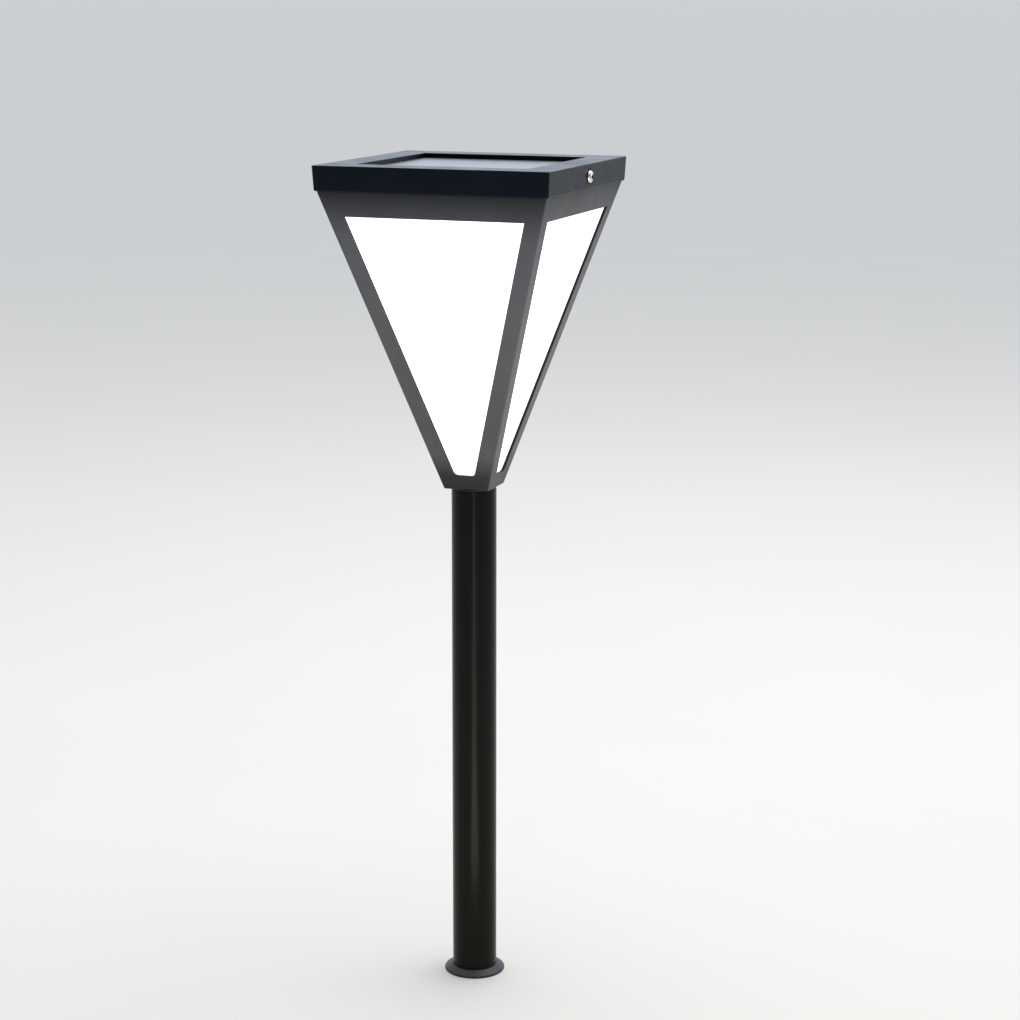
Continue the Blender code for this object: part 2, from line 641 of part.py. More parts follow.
def lantern_frame():
    """Inverted pyramid of four posts and bands, with an upstand inside the lid and a floor."""
    inside_start = SHOULDER - (LANTERN_TOP_HALF - WALL_ACROSS - UPSTAND_INSIDE) / SLOPE
    floor_top = LANTERN_FOOT + LANTERN_FLOOR
    floor_half = outer_half(SHOULDER - floor_top) - WALL_ACROSS
    upstand_top = SHOULDER + UPSTAND_HEIGHT
    rings = [
        rounded_square(LANTERN_FOOT_HALF, LANTERN_CORNER, LANTERN_FOOT),
        rounded_square(LANTERN_TOP_HALF, LANTERN_CORNER, SHOULDER),
        rounded_square(UPSTAND_OUTSIDE, INSIDE_CORNER, SHOULDER),
        rounded_square(UPSTAND_OUTSIDE, INSIDE_CORNER, upstand_top),
        rounded_square(UPSTAND_INSIDE, INSIDE_CORNER, upstand_top),
        rounded_square(UPSTAND_INSIDE, INSIDE_CORNER, inside_start),
        rounded_square(floor_half, INSIDE_CORNER, floor_top),
    ]
    frame = loft("lantern_frame", rings)
    for quarter in range(4):
        outline = [(x, SHOULDER - drop) for x, drop in window_outline()]
        window = loft(f"window_{quarter}", [[(x, y, z) for x, z in outline] for y in (-WINDOW_CUTTER, 0)])
        window.rotation_euler.z = quarter * math.pi / 2
        cut(frame, window)
    for side in (-1, 1):
        half = SCREW_RADIUS + 0.5 * MM
        slot = block(f"slot_{side}", 5 * MM, half, SCREW_Z - half, upstand_top + MM)
        cut(frame, place(slot, (side * UPSTAND_OUTSIDE, 0, 0)))
    cut(frame, disc("floor_hole", SCREW_RADIUS + GAP, LANTERN_FOOT - MM, floor_top + MM, 20))
    return paint(frame, (0.06, 0.06, 0.062), 0.5)


def diffusers():
    """Four opal panels behind the windows, one mesh turned about the centre line."""
    top = WINDOW_TOP - DIFFUSER_LAP
    foot = WINDOW_FOOT + DIFFUSER_LAP
    rings = []
    for depth in (LANTERN_WALL + GAP, LANTERN_WALL + GAP + DIFFUSER_THICK):
        across = depth / math.cos(TILT)
        ring = []
        for drop, side in ((top, 1), (top, -1), (foot, -1), (foot, 1)):
            half = outer_half(drop)
            ring.append((side * (half - DIFFUSER_INSET), across - half, SHOULDER - drop))
        rings.append(ring)
    first = paint(loft("diffuser_front", rings), (0.95, 0.95, 0.95), 0.35)
    words = ("right", "back", "left")
    rest = [copy_of(first, f"diffuser_{word}", (0, 0, 0), (0, 0, (n + 1) * math.pi / 2))
            for n, word in enumerate(words)]
    return [first] + rest


def pole_spigot():
    """Hollow plug with a thin flange, open below, with a hole for the centre screw."""
    radius = POLE_BORE - GAP
    flange_foot = FLANGE_OF_SPIGOT - SPIGOT_FLANGE
    foot = FLANGE_OF_SPIGOT - SPIGOT_LENGTH
    hole = SCREW_RADIUS + GAP
    roof = FLANGE_OF_SPIGOT - 4 * MM
    boss_foot = FLANGE_OF_SPIGOT - 16 * MM
    profile = [(hole, FLANGE_OF_SPIGOT), (POLE_RADIUS - 0.6 * MM, FLANGE_OF_SPIGOT)]
    profile += [(POLE_RADIUS - 0.6 * MM, flange_foot), (radius, flange_foot), (radius, foot + MM)]
    profile += [(radius - MM, foot), (radius - SPIGOT_WALL, foot), (radius - SPIGOT_WALL, roof)]
    profile += [(SPIGOT_BOSS, roof), (SPIGOT_BOSS, boss_foot), (hole, boss_foot)]
    return paint(turned("pole_spigot", profile, 40), (0.02, 0.02, 0.02), 0.5)


def spigot_screw():
    washer_thick = 1 * MM
    floor_top = LANTERN_FOOT + LANTERN_FLOOR
    ring = washer("spigot_washer", 6 * MM, SCREW_RADIUS + GAP, floor_top + GAP, floor_top + GAP + washer_thick)
    paint(ring, (0.55, 0.55, 0.54), 0.35, 1.0)
    head = floor_top + washer_thick + 2 * GAP
    screw = pan_screw("spigot_screw", 4 * MM, 2.6 * MM, SCREW_RADIUS, 19 * MM, 24)
    place(screw, (0, 0, head))
    return [paint(screw, (0.55, 0.55, 0.54), 0.3, 1.0), ring]


# Pole and root

def pole_tube():
    profile = [(POLE_BORE, POLE_TOP), (POLE_RADIUS, POLE_TOP), (POLE_RADIUS, POLE_FOOT), (POLE_BORE, POLE_FOOT)]
    return paint(turned("pole_tube", profile, 48), (0.02, 0.018, 0.017), 0.25, 0.6)


def ground_spike():
    """Hollow plug, ground collar and two crossed fins that taper to a point."""
    plug = POLE_BORE - GAP
    inside = plug - SPIGOT_WALL
    seat = POLE_RADIUS + 1.5 * MM
    floor = COLLAR_HEIGHT + 2 * MM
    profile = [(0, floor), (inside, floor), (inside, PLUG_HEIGHT), (plug - MM, PLUG_HEIGHT)]
    profile += [(plug, PLUG_HEIGHT - MM), (plug, COLLAR_HEIGHT), (seat, COLLAR_HEIGHT)]
    profile += [(COLLAR_RADIUS - MM, 2.5 * MM), (COLLAR_RADIUS, 1.5 * MM), (COLLAR_RADIUS, 0), (0, 0)]
    spike = turned("ground_spike", profile, 40)
    right = [(FIN_HALF, 2 * MM), (FIN_HALF, -22 * MM), (1.2 * MM, 4 * MM - SPIKE_LENGTH)]
    outline = right + [(0, -SPIKE_LENGTH)] + [(-x, z) for x, z in reversed(right)]
    weld(spike, prism("fin_x", outline, FIN_THICK))
    other = prism("fin_y", outline, FIN_THICK * 0.98)
    other.rotation_euler.z = math.pi / 2
    weld(spike, other)
    return paint(spike, (0.02, 0.02, 0.02), 0.55)


def group(name, pieces):
    """Hold a moving unit's pieces on an empty that stands on the centre line."""
    holder = add_object(name, None)
    holder.empty_display_size = 20 * MM
    for piece in pieces:
        piece.parent = holder
    return holder


def assemble():
    lid = [lid_cover(), solar_panel(), panel_bond(), tray_seal(), lid_tray(), led_board(), control_board()]
    lid += tray_screws() + side_screws() + led_chips() + led_screws() + board_screws()
    lid += battery_parts() + switch_parts() + leads()
    lantern = [lantern_frame()] + diffusers()
    lid_unit = group("lid_unit", lid)
    lantern_unit = group("lantern_unit", lantern + [lid_unit])
    spigot_unit = group("spigot_unit", [pole_spigot()] + spigot_screw() + [lantern_unit])
    pole_unit = group("pole_unit", [pole_tube(), spigot_unit])
    group("root_unit", [ground_spike(), pole_unit])


clear_scene()
assemble()
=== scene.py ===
import math

import bmesh
import bpy
from mathutils import Matrix, Vector


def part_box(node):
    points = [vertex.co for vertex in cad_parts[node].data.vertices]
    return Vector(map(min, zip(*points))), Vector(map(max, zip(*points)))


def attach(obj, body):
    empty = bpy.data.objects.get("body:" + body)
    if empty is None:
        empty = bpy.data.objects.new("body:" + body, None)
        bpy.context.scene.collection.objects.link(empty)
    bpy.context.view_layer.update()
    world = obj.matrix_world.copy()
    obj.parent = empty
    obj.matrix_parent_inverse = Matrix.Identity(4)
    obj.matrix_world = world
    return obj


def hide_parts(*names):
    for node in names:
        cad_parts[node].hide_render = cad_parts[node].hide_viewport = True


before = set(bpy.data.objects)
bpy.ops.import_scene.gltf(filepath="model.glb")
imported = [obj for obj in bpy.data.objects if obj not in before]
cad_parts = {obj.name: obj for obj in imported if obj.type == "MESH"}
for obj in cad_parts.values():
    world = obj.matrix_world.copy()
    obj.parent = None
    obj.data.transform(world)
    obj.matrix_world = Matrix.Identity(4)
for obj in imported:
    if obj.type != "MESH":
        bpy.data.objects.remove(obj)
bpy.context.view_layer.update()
mm = 0.001

# Camera
# A long lens a little to the right of the light and just above the lid. Its place is
# measured from the middle of the lid's rim.
bpy.context.scene.view_settings.view_transform = "Standard"
lid_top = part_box("lid_cover")[1].z
camera = bpy.data.objects.new("camera", bpy.data.cameras.new("camera"))
bpy.context.scene.collection.objects.link(camera)
camera.data.sensor_width = 36
camera.data.lens = 83.05
camera.location = Vector((0, 0, lid_top)) + Vector((692.4, -1813.7, 132.4)) * mm
look_round = Matrix.Rotation(math.radians(20.0), 3, "Z")
look_down = Matrix.Rotation(math.radians(90 - 12.349), 3, "X")
roll = Matrix.Rotation(math.radians(0.111), 3, "Z")
camera.rotation_euler = (look_round @ look_down @ roll).to_euler()
bpy.context.scene.camera = camera


# Studio
# A pale matt floor at ground level under a soft sky that is brighter behind the light than in
# front of it, a soft box overhead and a long one flat on the floor that draws a line on the tube.
def linear(code):
    """A hex sRGB colour as linear RGBA."""
    parts = [int(code[place:place + 2], 16) / 255 for place in (1, 3, 5)]
    parts = [part / 12.92 if part <= 0.04045 else ((part + 0.055) / 1.055) ** 2.4 for part in parts]
    return (*parts, 1.0)


def add_node(tree, kind, inputs=None, **settings):
    """Add a node with its settings; an input is a value, or the socket that feeds it."""
    node = tree.nodes.new(kind)
    for name, value in settings.items():
        setattr(node, name, value)
    for name, value in (inputs or {}).items():
        if isinstance(value, bpy.types.NodeSocket):
            tree.links.new(value, node.inputs[name])
        else:
            node.inputs[name].default_value = value
    return node


def new_material(name):
    """A material with its tree, its shader and its Object coordinates."""
    material = bpy.data.materials.new(name)
    material.use_nodes = True
    tree = material.node_tree
    place = add_node(tree, "ShaderNodeTexCoord").outputs["Object"]
    return material, tree, tree.nodes["Principled BSDF"], place


floor_material, tree, shader, place = new_material("matt studio floor")
mottle = add_node(tree, "ShaderNodeTexNoise", {"Vector": place, "Scale": 3.0, "Detail": 4.0})
tone = add_node(tree, "ShaderNodeMapRange",
                {"Value": mottle.outputs["Fac"], "To Min": 0.98, "To Max": 1.02})
floor_colour = add_node(tree, "ShaderNodeVectorMath",
                        {0: linear("#DAD8D4")[:3], "Scale": tone.outputs["Result"]}, operation="SCALE")
tree.links.new(floor_colour.outputs["Vector"], shader.inputs["Base Color"])
shader.inputs["Roughness"].default_value = 0.9
shader.inputs["Specular IOR Level"].default_value = 0.2
shape = bmesh.new()
bmesh.ops.create_circle(shape, cap_ends=True, radius=1000, segments=96)
floor_mesh = bpy.data.meshes.new("floor")
shape.to_mesh(floor_mesh)
shape.free()
floor_mesh.materials.append(floor_material)
floor = bpy.data.objects.new("floor", floor_mesh)
bpy.context.scene.collection.objects.link(floor)

world = bpy.data.worlds.new("soft sky")
bpy.context.scene.world = world
world.use_nodes = True
tree = world.node_tree
direction = add_node(tree, "ShaderNodeTexCoord").outputs["Generated"]
apart = add_node(tree, "ShaderNodeSeparateXYZ", {"Vector": direction})
behind = add_node(tree, "ShaderNodeMapRange",
                  {"Value": apart.outputs["Y"], "From Min": -0.4, "From Max": 0.9},
                  interpolation_type="SMOOTHSTEP")
sides = add_node(tree, "ShaderNodeMix",
                 {"Factor": behind.outputs["Result"], 6: linear("#6E7379"), 7: linear("#E6F0FF")},
                 data_type="RGBA")
above = add_node(tree, "ShaderNodeMapRange", {"Value": apart.outputs["Z"], "From Min": 0.5},
                 interpolation_type="SMOOTHSTEP")
sky = add_node(tree, "ShaderNodeMix",
               {"Factor": above.outputs["Result"], 6: sides.outputs[2], 7: linear("#E2E2E2")},
               data_type="RGBA")
tree.links.new(sky.outputs[2], tree.nodes["Background"].inputs["Color"])
tree.nodes["Background"].inputs["Strength"].default_value = 1.5


def soft_box(name, location, aim, width, height, power, colour):
    """A rectangular area light at one point, turned towards another."""
    light = bpy.data.lights.new(name, "AREA")
    light.shape = "RECTANGLE"
    light.size = width
    light.size_y = height
    light.energy = power
    light.color = linear(colour)[:3]
    lamp = bpy.data.objects.new(name, light)
    lamp.location = location
    lamp.rotation_euler = (Vector(aim) - Vector(location)).to_track_quat("-Z", "Y").to_euler()
    lamp.visible_camera = False
    bpy.context.scene.collection.objects.link(lamp)


soft_box("overhead box", (0.3, 0.8, 2.6), (0, 0.1, 0), 2.4, 2.4, 45, "#FFFDF8")
soft_box("floor strip", (0.376, -1.034, 0.02), (0.364, -1.0, 2.0), 0.2, 1.7, 4.3, "#FFF8F0")


# Ground spike
# Black ABS, moulded in one: a hollow plug that stands in the tube, a collar that rests on the
# soil, and four fins that taper to a point, with a small web under the collar between each two.
def moulded(name, code, roughness, specular=0.5, grain=0.8 * mm, depth=0.02 * mm):
    """Injection-moulded plastic: spark-eroded grain, and faint flow marks that shift the gloss.

    The real grain is about 0.1 mm; it is drawn coarser so that it shows.
    """
    material, tree, shader, place = new_material(name)
    grains = add_node(tree, "ShaderNodeTexNoise",
                      {"Vector": place, "Scale": 1 / grain, "Detail": 2.0, "Roughness": 0.6})
    flow = add_node(tree, "ShaderNodeTexNoise", {"Vector": place, "Scale": 30.0, "Detail": 3.0})
    marks = {"Value": flow.outputs["Fac"], "From Min": 0.3, "From Max": 0.7}
    gloss = add_node(tree, "ShaderNodeMapRange",
                     {**marks, "To Min": roughness - 0.04, "To Max": roughness + 0.04})
    shade = add_node(tree, "ShaderNodeMapRange", {**marks, "To Min": 0.92, "To Max": 1.08})
    colour = add_node(tree, "ShaderNodeVectorMath",
                      {0: linear(code)[:3], "Scale": shade.outputs["Result"]}, operation="SCALE")
    bump = add_node(tree, "ShaderNodeBump",
                    {"Height": grains.outputs["Fac"], "Strength": 0.5, "Distance": depth})
    tree.links.new(colour.outputs["Vector"], shader.inputs["Base Color"])
    tree.links.new(gloss.outputs["Result"], shader.inputs["Roughness"])
    tree.links.new(bump.outputs["Normal"], shader.inputs["Normal"])
    shader.inputs["IOR"].default_value = 1.54
    shader.inputs["Specular IOR Level"].default_value = specular
    return material


def add_piece(name, shape, material, body, slot, *replaced, second=None):
    """Make the object, with its flat faces shaded flat; it rides on a body and stands for nodes."""
    bmesh.ops.remove_doubles(shape, verts=shape.verts, dist=0.001 * mm)
    mesh = bpy.data.meshes.new(name)
    shape.to_mesh(mesh)
    shape.free()
    mesh.materials.append(material)
    if second:
        mesh.materials.append(second)
    piece = bpy.data.objects.new(name, mesh)
    bpy.context.scene.collection.objects.link(piece)
    mesh.shade_smooth()
    mesh.set_sharp_from_angle(angle=math.radians(50))
    level = piece.modifiers.new("flat panes", "WEIGHTED_NORMAL")
    level.keep_sharp = True
    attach(piece, body)
    for node in replaced:
        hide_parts(node)


def turned(profile, steps):
    """Spin (radius, height) points about Z; the ends lie on the axis, or the profile closes."""
    shape = bmesh.new()
    points = [shape.verts.new((radius, 0, height)) for radius, height in profile]
    edges = [shape.edges.new(pair) for pair in zip(points, points[1:])]
    if profile[0][0] > 0:
        edges.append(shape.edges.new((points[-1], points[0])))
    bmesh.ops.spin(shape, geom=points + edges, cent=(0, 0, 0), axis=(0, 0, 1),
                   angle=2 * math.pi, steps=steps, use_merge=True)
    bmesh.ops.remove_doubles(shape, verts=shape.verts, dist=0.001 * mm)
    bmesh.ops.recalc_face_normals(shape, faces=shape.faces)
    return shape


def box_shape(low, high):
    """A box between two corners."""
    shape = bmesh.new()
    low, high = Vector(low), Vector(high)
    bmesh.ops.create_cube(shape, size=1)
    bmesh.ops.scale(shape, verts=shape.verts, vec=high - low)
    bmesh.ops.translate(shape, verts=shape.verts, vec=(low + high) / 2)
    shape.normal_update()
    return shape


def plate_shape(corners, depth):
    """A flat outline of points, drawn out along Y."""
    shape = bmesh.new()
    face = shape.faces.new([shape.verts.new(corner) for corner in corners])
    swept = bmesh.ops.extrude_face_region(shape, geom=[face])
    far = [item for item in swept["geom"] if isinstance(item, bmesh.types.BMVert)]
    bmesh.ops.translate(shape, verts=far, vec=(0, depth, 0))
    bmesh.ops.recalc_face_normals(shape, faces=shape.faces)
    return shape


def moved(shape, turn=0.0, axis="Z", to=(0, 0, 0)):
    """Turn a shape about an axis through the origin, then shift it."""
    bmesh.ops.rotate(shape, verts=shape.verts, cent=(0, 0, 0), matrix=Matrix.Rotation(turn, 3, axis))
    bmesh.ops.translate(shape, verts=shape.verts, vec=to)
    return shape


def rounded(shape, edges, radius, segments=2):
    """Round some edges and return the shape."""
    bmesh.ops.bevel(shape, geom=edges, offset=radius, offset_type="OFFSET", segments=segments, profile=0.5,
                    affect="EDGES", material=-1)
    shape.normal_update()
    return shape


def combined(shape, helpers, operation):
    """Cut closed helpers that stand clear of each other from a shape, or weld them on."""
    items = []
    for parts in ([shape], helpers):
        joined = bmesh.new()
        for part in parts:
            bmesh.ops.recalc_face_normals(part, faces=part.faces)
            mesh = bpy.data.meshes.new("blank")
            part.to_mesh(mesh)
            part.free()
            joined.from_mesh(mesh)
            bpy.data.meshes.remove(mesh)
        mesh = bpy.data.meshes.new("blank")
        joined.to_mesh(mesh)
        joined.free()
        item = bpy.data.objects.new("blank", mesh)
        bpy.context.scene.collection.objects.link(item)
        items.append(item)
    change = items[0].modifiers.new("combine", "BOOLEAN")
    change.operation = operation
    change.solver = "EXACT"
    change.object = items[1]
    result = bmesh.new()
    result.from_mesh(items[0].evaluated_get(bpy.context.evaluated_depsgraph_get()).to_mesh())
    for item in items:
        bpy.data.meshes.remove(item.data)
    result.normal_update()
    return result


black_abs = moulded("black ABS, moulded grain", "#1B1B1B", 0.5)
spike_low, spike_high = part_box("ground_spike")
collar_radius = spike_high.x
tube_low, tube_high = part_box("pole_tube")
tube_radius = tube_high.x
tube_wall = 1 * mm
gap = 0.3 * mm
plug_radius = tube_radius - tube_wall - gap
plug_wall = 2.5 * mm
seat_z = tube_low.z - gap
well = seat_z + 2 * mm
profile = [(0, well), (plug_radius - plug_wall, well), (plug_radius - plug_wall, spike_high.z - 0.4 * mm)]
profile += [(plug_radius - plug_wall + 0.4 * mm, spike_high.z), (plug_radius - mm, spike_high.z)]
profile += [(plug_radius, spike_high.z - mm), (plug_radius, seat_z), (tube_radius + 1.2 * mm, seat_z)]
profile += [(tube_radius + 1.8 * mm, seat_z - 0.3 * mm), (collar_radius - 1.6 * mm, 2.6 * mm)]
profile += [(collar_radius - 0.5 * mm, 2.1 * mm), (collar_radius, 1.3 * mm), (collar_radius, 0.4 * mm)]
profile += [(collar_radius - 0.4 * mm, 0), (0, 0)]
spike = turned(profile, 72)
fin_half = 18 * mm
fin_thick = 3.2 * mm
fin_shoulder = -22 * mm
tip_z = spike_low.z
side = [(fin_half, 0, 2 * mm), (fin_half, 0, fin_shoulder), (1.2 * mm, 0, tip_z + 4 * mm)]
outline = side + [(0, 0, tip_z)] + [(-x, y, z) for x, y, z in reversed(side)]
web = [(mm, 0, 2 * mm), (11 * mm, 0, 2 * mm), (11 * mm, 0, -3 * mm)]
web += [(4 * mm, 0, -30 * mm), (mm, 0, -30 * mm)]
# The crossing pair of fins is a trace thinner, so that no two faces of the weld coincide.
for crossing, thick in enumerate((fin_thick, fin_thick * 0.98)):
    fin = moved(plate_shape(outline, thick), to=(0, -thick / 2, 0))
    rims = [edge for edge in fin.edges if abs(edge.verts[0].co.y - edge.verts[1].co.y) < 0.1 * mm]
    spike = combined(spike, [moved(rounded(fin, rims, 0.6 * mm), crossing * math.pi / 2)], "UNION")
braces = []
for quarter in range(4):
    brace = moved(plate_shape(web, 1.8 * mm), to=(0, -0.9 * mm, 0))
    braces.append(moved(brace, (quarter + 0.5) * math.pi / 2))
spike = combined(spike, braces, "UNION")
add_piece("spike_moulding", spike, black_abs, "spike", "spike_plastic", "ground_spike")


# Pole
# Welded steel tube, 38 mm across with a 1 mm wall, its cut ends deburred. Gloss stoved enamel
# in black that leans to brown, with a faint orange peel about 2 mm across and long soft streaks.
enamel, tree, shader, place = new_material("gloss black-brown enamel on steel")
peel = add_node(tree, "ShaderNodeTexNoise", {"Vector": place, "Scale": 1 / (2 * mm), "Detail": 1.0})
drawn_out = add_node(tree, "ShaderNodeMapping", {"Vector": place, "Scale": (1.0, 1.0, 0.03)})
streak = add_node(tree, "ShaderNodeTexNoise",
                  {"Vector": drawn_out.outputs["Vector"], "Scale": 220.0, "Detail": 3.0})
up = add_node(tree, "ShaderNodeSeparateXYZ", {"Vector": place})
height = add_node(tree, "ShaderNodeMapRange",
                  {"Value": up.outputs["Z"], "From Min": 0.0, "From Max": tube_high.z})
colour = add_node(tree, "ShaderNodeMix",
                  {"Factor": height.outputs["Result"], 6: linear("#15110A"), 7: linear("#0C0C0B")},
                  data_type="RGBA")
gloss = add_node(tree, "ShaderNodeMapRange", {"Value": streak.outputs["Fac"], "From Min": 0.3,
                                              "From Max": 0.7, "To Min": 0.2, "To Max": 0.3})
bump = add_node(tree, "ShaderNodeBump",
                {"Height": peel.outputs["Fac"], "Strength": 0.25, "Distance": 0.02 * mm})
tree.links.new(colour.outputs[2], shader.inputs["Base Color"])
tree.links.new(gloss.outputs["Result"], shader.inputs["Roughness"])
tree.links.new(bump.outputs["Normal"], shader.inputs["Normal"])
shader.inputs["Specular IOR Level"].default_value = 0.11
edge = 0.3 * mm
bore = tube_radius - tube_wall
profile = [(bore, tube_high.z - edge), (bore + edge, tube_high.z), (tube_radius - edge, tube_high.z)]
profile += [(tube_radius, tube_high.z - edge), (tube_radius, tube_low.z + edge)]
profile += [(tube_radius - edge, tube_low.z), (bore + edge, tube_low.z), (bore, tube_low.z + edge)]
add_piece("tube", turned(profile, 128), enamel, "pole", "tube_paint", "pole_tube")


# Spigot
# Black nylon plug with three grooves round it where it grips the tube's bore, a thin flange
# and a boss. A zinc-plated screw and washer hold the lantern's floor to it and let it turn.
nylon = moulded("black nylon", "#161616", 0.45)
spigot_low, spigot_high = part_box("pole_spigot")
flange_radius = spigot_high.x
flange_foot = spigot_high.z - 1.2 * mm
shank = 2 * mm
shank_hole = shank + gap
boss_radius = 6 * mm
boss_low = spigot_high.z - 16 * mm
roof = spigot_high.z - 4 * mm
profile = [(shank_hole, spigot_high.z), (flange_radius - 0.3 * mm, spigot_high.z)]
profile += [(flange_radius, spigot_high.z - 0.3 * mm), (flange_radius, flange_foot)]
profile += [(plug_radius, flange_foot)]
for ring in range(3):
    height = spigot_high.z - 12 * mm - ring * 11 * mm
    profile += [(plug_radius, height + 1.5 * mm), (plug_radius - 0.5 * mm, height + mm)]
    profile += [(plug_radius - 0.5 * mm, height - mm), (plug_radius, height - 1.5 * mm)]
profile += [(plug_radius, spigot_low.z + mm), (plug_radius - mm, spigot_low.z)]
profile += [(plug_radius - plug_wall, spigot_low.z), (plug_radius - plug_wall, roof)]
profile += [(boss_radius, roof), (boss_radius, boss_low), (shank_hole, boss_low)]
add_piece("spigot_plug", turned(profile, 72), nylon, "spigot", "spigot_plastic", "pole_spigot")


def plated(name, code, roughness):
    """Bright plating on steel: a metal with fine turning marks that vary its gloss."""
    material, tree, shader, place = new_material(name)
    marks = add_node(tree, "ShaderNodeTexNoise", {"Vector": place, "Scale": 1 / (0.4 * mm), "Detail": 2.0})
    gloss = add_node(tree, "ShaderNodeMapRange",
                     {"Value": marks.outputs["Fac"], "To Min": roughness * 0.7, "To Max": roughness * 1.3})
    tree.links.new(gloss.outputs["Result"], shader.inputs["Roughness"])
    shader.inputs["Base Color"].default_value = linear(code)
    shader.inputs["Metallic"].default_value = 1.0
    return material


skew = 0.05


def screw_shape(head, height, shank, length, pitch):
    """A pan-head screw that hangs from z = 0: domed head, cross recess and a ridged shank.

    The recess has four arms that slope in and a pit, skewed so that its facets meet no others.
    Its faces take the piece's second finish.
    """
    profile = [(0, height), (0.35 * head, 0.97 * height), (0.62 * head, 0.87 * height)]
    profile += [(0.84 * head, 0.68 * height), (0.96 * head, 0.4 * height), (head, 0.12 * height)]
    profile += [(0.98 * head, 0), (shank, 0)]
    for ridge in range(int((length - 2 * pitch) / pitch)):
        start = -pitch * (1 + ridge)
        profile += [(shank * 0.84, start), (shank, start - 0.5 * pitch)]
    profile += [(shank * 0.8, 0.4 * pitch - length), (shank * 0.5, -length), (0, -length)]
    shape = turned(profile, 40)
    long, wide, deep = 0.64 * head, 0.15 * head, 0.25 * height
    for quarter in range(2):
        slot = box_shape((-long, -wide, deep), (long, wide, 1.2 * height))
        for corner in slot.verts:
            if corner.co.z < 0.5 * height:
                corner.co.x *= 0.45
        shape = combined(shape, [moved(slot, math.radians(12) + quarter * math.pi / 2)], "DIFFERENCE")
    profile = [(0, 1.3 * height), (0.44 * head, 1.3 * height)]
    profile += [(0.2 * head, 0.3 * height), (0, 0.3 * height)]
    shape = combined(shape, [moved(turned(profile, 20), skew)], "DIFFERENCE")
    # Painted shade: the faces inside the cross recess and pit take the dark second finish.
    for face in shape.faces:
        middle = face.calc_center_median()
        out = middle.xy.length / head
        below_dome = middle.z < (0.9 - 0.5 * out * out) * height
        if out < 0.66 and middle.z > 0.2 * height and below_dome:
            face.material_index = 1
    return shape


def ring_profile(inner, outer, low, high):
    """A washer's profile, with its upper outside edge broken."""
    return [(inner, high), (outer - 0.2 * mm, high), (outer, high - 0.2 * mm), (outer, low), (inner, low)]


zinc = plated("zinc plate on steel", "#C4C6C6", 0.3)
# Painted shade: the near-black finish that fills the screws' recesses.
recess_shade = moulded("painted shade in screw recess", "#0B0B0A", 0.9, specular=0.1)
low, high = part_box("spigot_screw")
head_height = 2.6 * mm
seat = high.z - head_height
screw = screw_shape(high.x, head_height, shank, seat - low.z, 0.9 * mm)
add_piece("centre_screw", moved(screw, to=(0, 0, seat)), zinc, "spigot", "zinc_steel", "spigot_screw",
          second=recess_shade)
low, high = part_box("spigot_washer")
add_piece("centre_washer", turned(ring_profile(shank_hole, high.x, low.z, high.z), 48), zinc, "spigot",
          "zinc_steel", "spigot_washer")


# Lantern frame
# One dark grey ABS moulding: an inverted pyramid of four posts between a deep band and a foot, an
# upstand inside the lid and a floor for the centre screw. Its colour carries painted shade: the
# band turns a bluish near-black under the lid, and the frame is darker towards the foot. The
# windows' reveals carry painted shade as a black second finish.
def sunk(shape, face, inset, move, grow=1.0):
    """Inset a face, then draw its middle along Z; grow scales it about the centre line."""
    if inset:
        bmesh.ops.inset_region(shape, faces=[face], thickness=inset, use_even_offset=True)
    made = bmesh.ops.extrude_face_region(shape, geom=[face])
    bmesh.ops.delete(shape, geom=[face], context="FACES_ONLY")
    middle = [item for item in made["geom"] if isinstance(item, bmesh.types.BMFace)][0]
    bmesh.ops.translate(shape, verts=middle.verts, vec=(0, 0, move))
    bmesh.ops.scale(shape, verts=middle.verts, vec=(grow, grow, 1))
    shape.normal_update()
    return middle


def end_face(shape, side):
    """The highest or the lowest level face."""
    level = [face for face in shape.faces if abs(face.normal.z) > 0.9]
    return max(level, key=lambda face: side * face.calc_center_median().z)


touching = 0.01 * mm
sharp = 0.5


def upright_edges(shape, inner, outer):
    """The upright edges at the corners of squares whose half width lies in a range."""
    found = []
    for edge in shape.edges:
        first, last = edge.verts[0].co, edge.verts[1].co
        corner = all(abs(abs(spot.x) - abs(spot.y)) < touching and inner < abs(spot.x) < outer
                     for spot in (first, last))
        if corner and abs(first.z - last.z) > 2 * abs(first.x - last.x):
            found.append(edge)
    return found


def level_edges(shape, height, inner, outer):
    """The sharp edges at one height whose distance from the centre line lies in a range."""
    found = []
    for edge in shape.edges:
        spots = [corner.co for corner in edge.verts]
        level = all(abs(spot.z - height) < touching and inner < max(abs(spot.x), abs(spot.y)) < outer
                    for spot in spots)
        if level and edge.calc_face_angle(0) > sharp:
            found.append(edge)
    return found


def drill(radius, low, high, spot=(0, 0)):
    """A round cutter, skewed like the screws' pits, that stands at a spot between two heights."""
    return moved(turned([(0, high), (radius, high), (radius, low), (0, low)], 32), skew, to=(*spot, 0))


frame_low, frame_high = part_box("lantern_frame")
skirt_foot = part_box("lid_cover")[0].z
shoulder = skirt_foot - gap
lantern_abs = moulded("dark grey ABS, painted shade under lid, darker foot", "#5A5B5E", 0.42, specular=0.3)
tree = lantern_abs.node_tree
shader = tree.nodes["Principled BSDF"]
up = add_node(tree, "ShaderNodeSeparateXYZ", {"Vector": tree.nodes["Texture Coordinate"].outputs["Object"]})
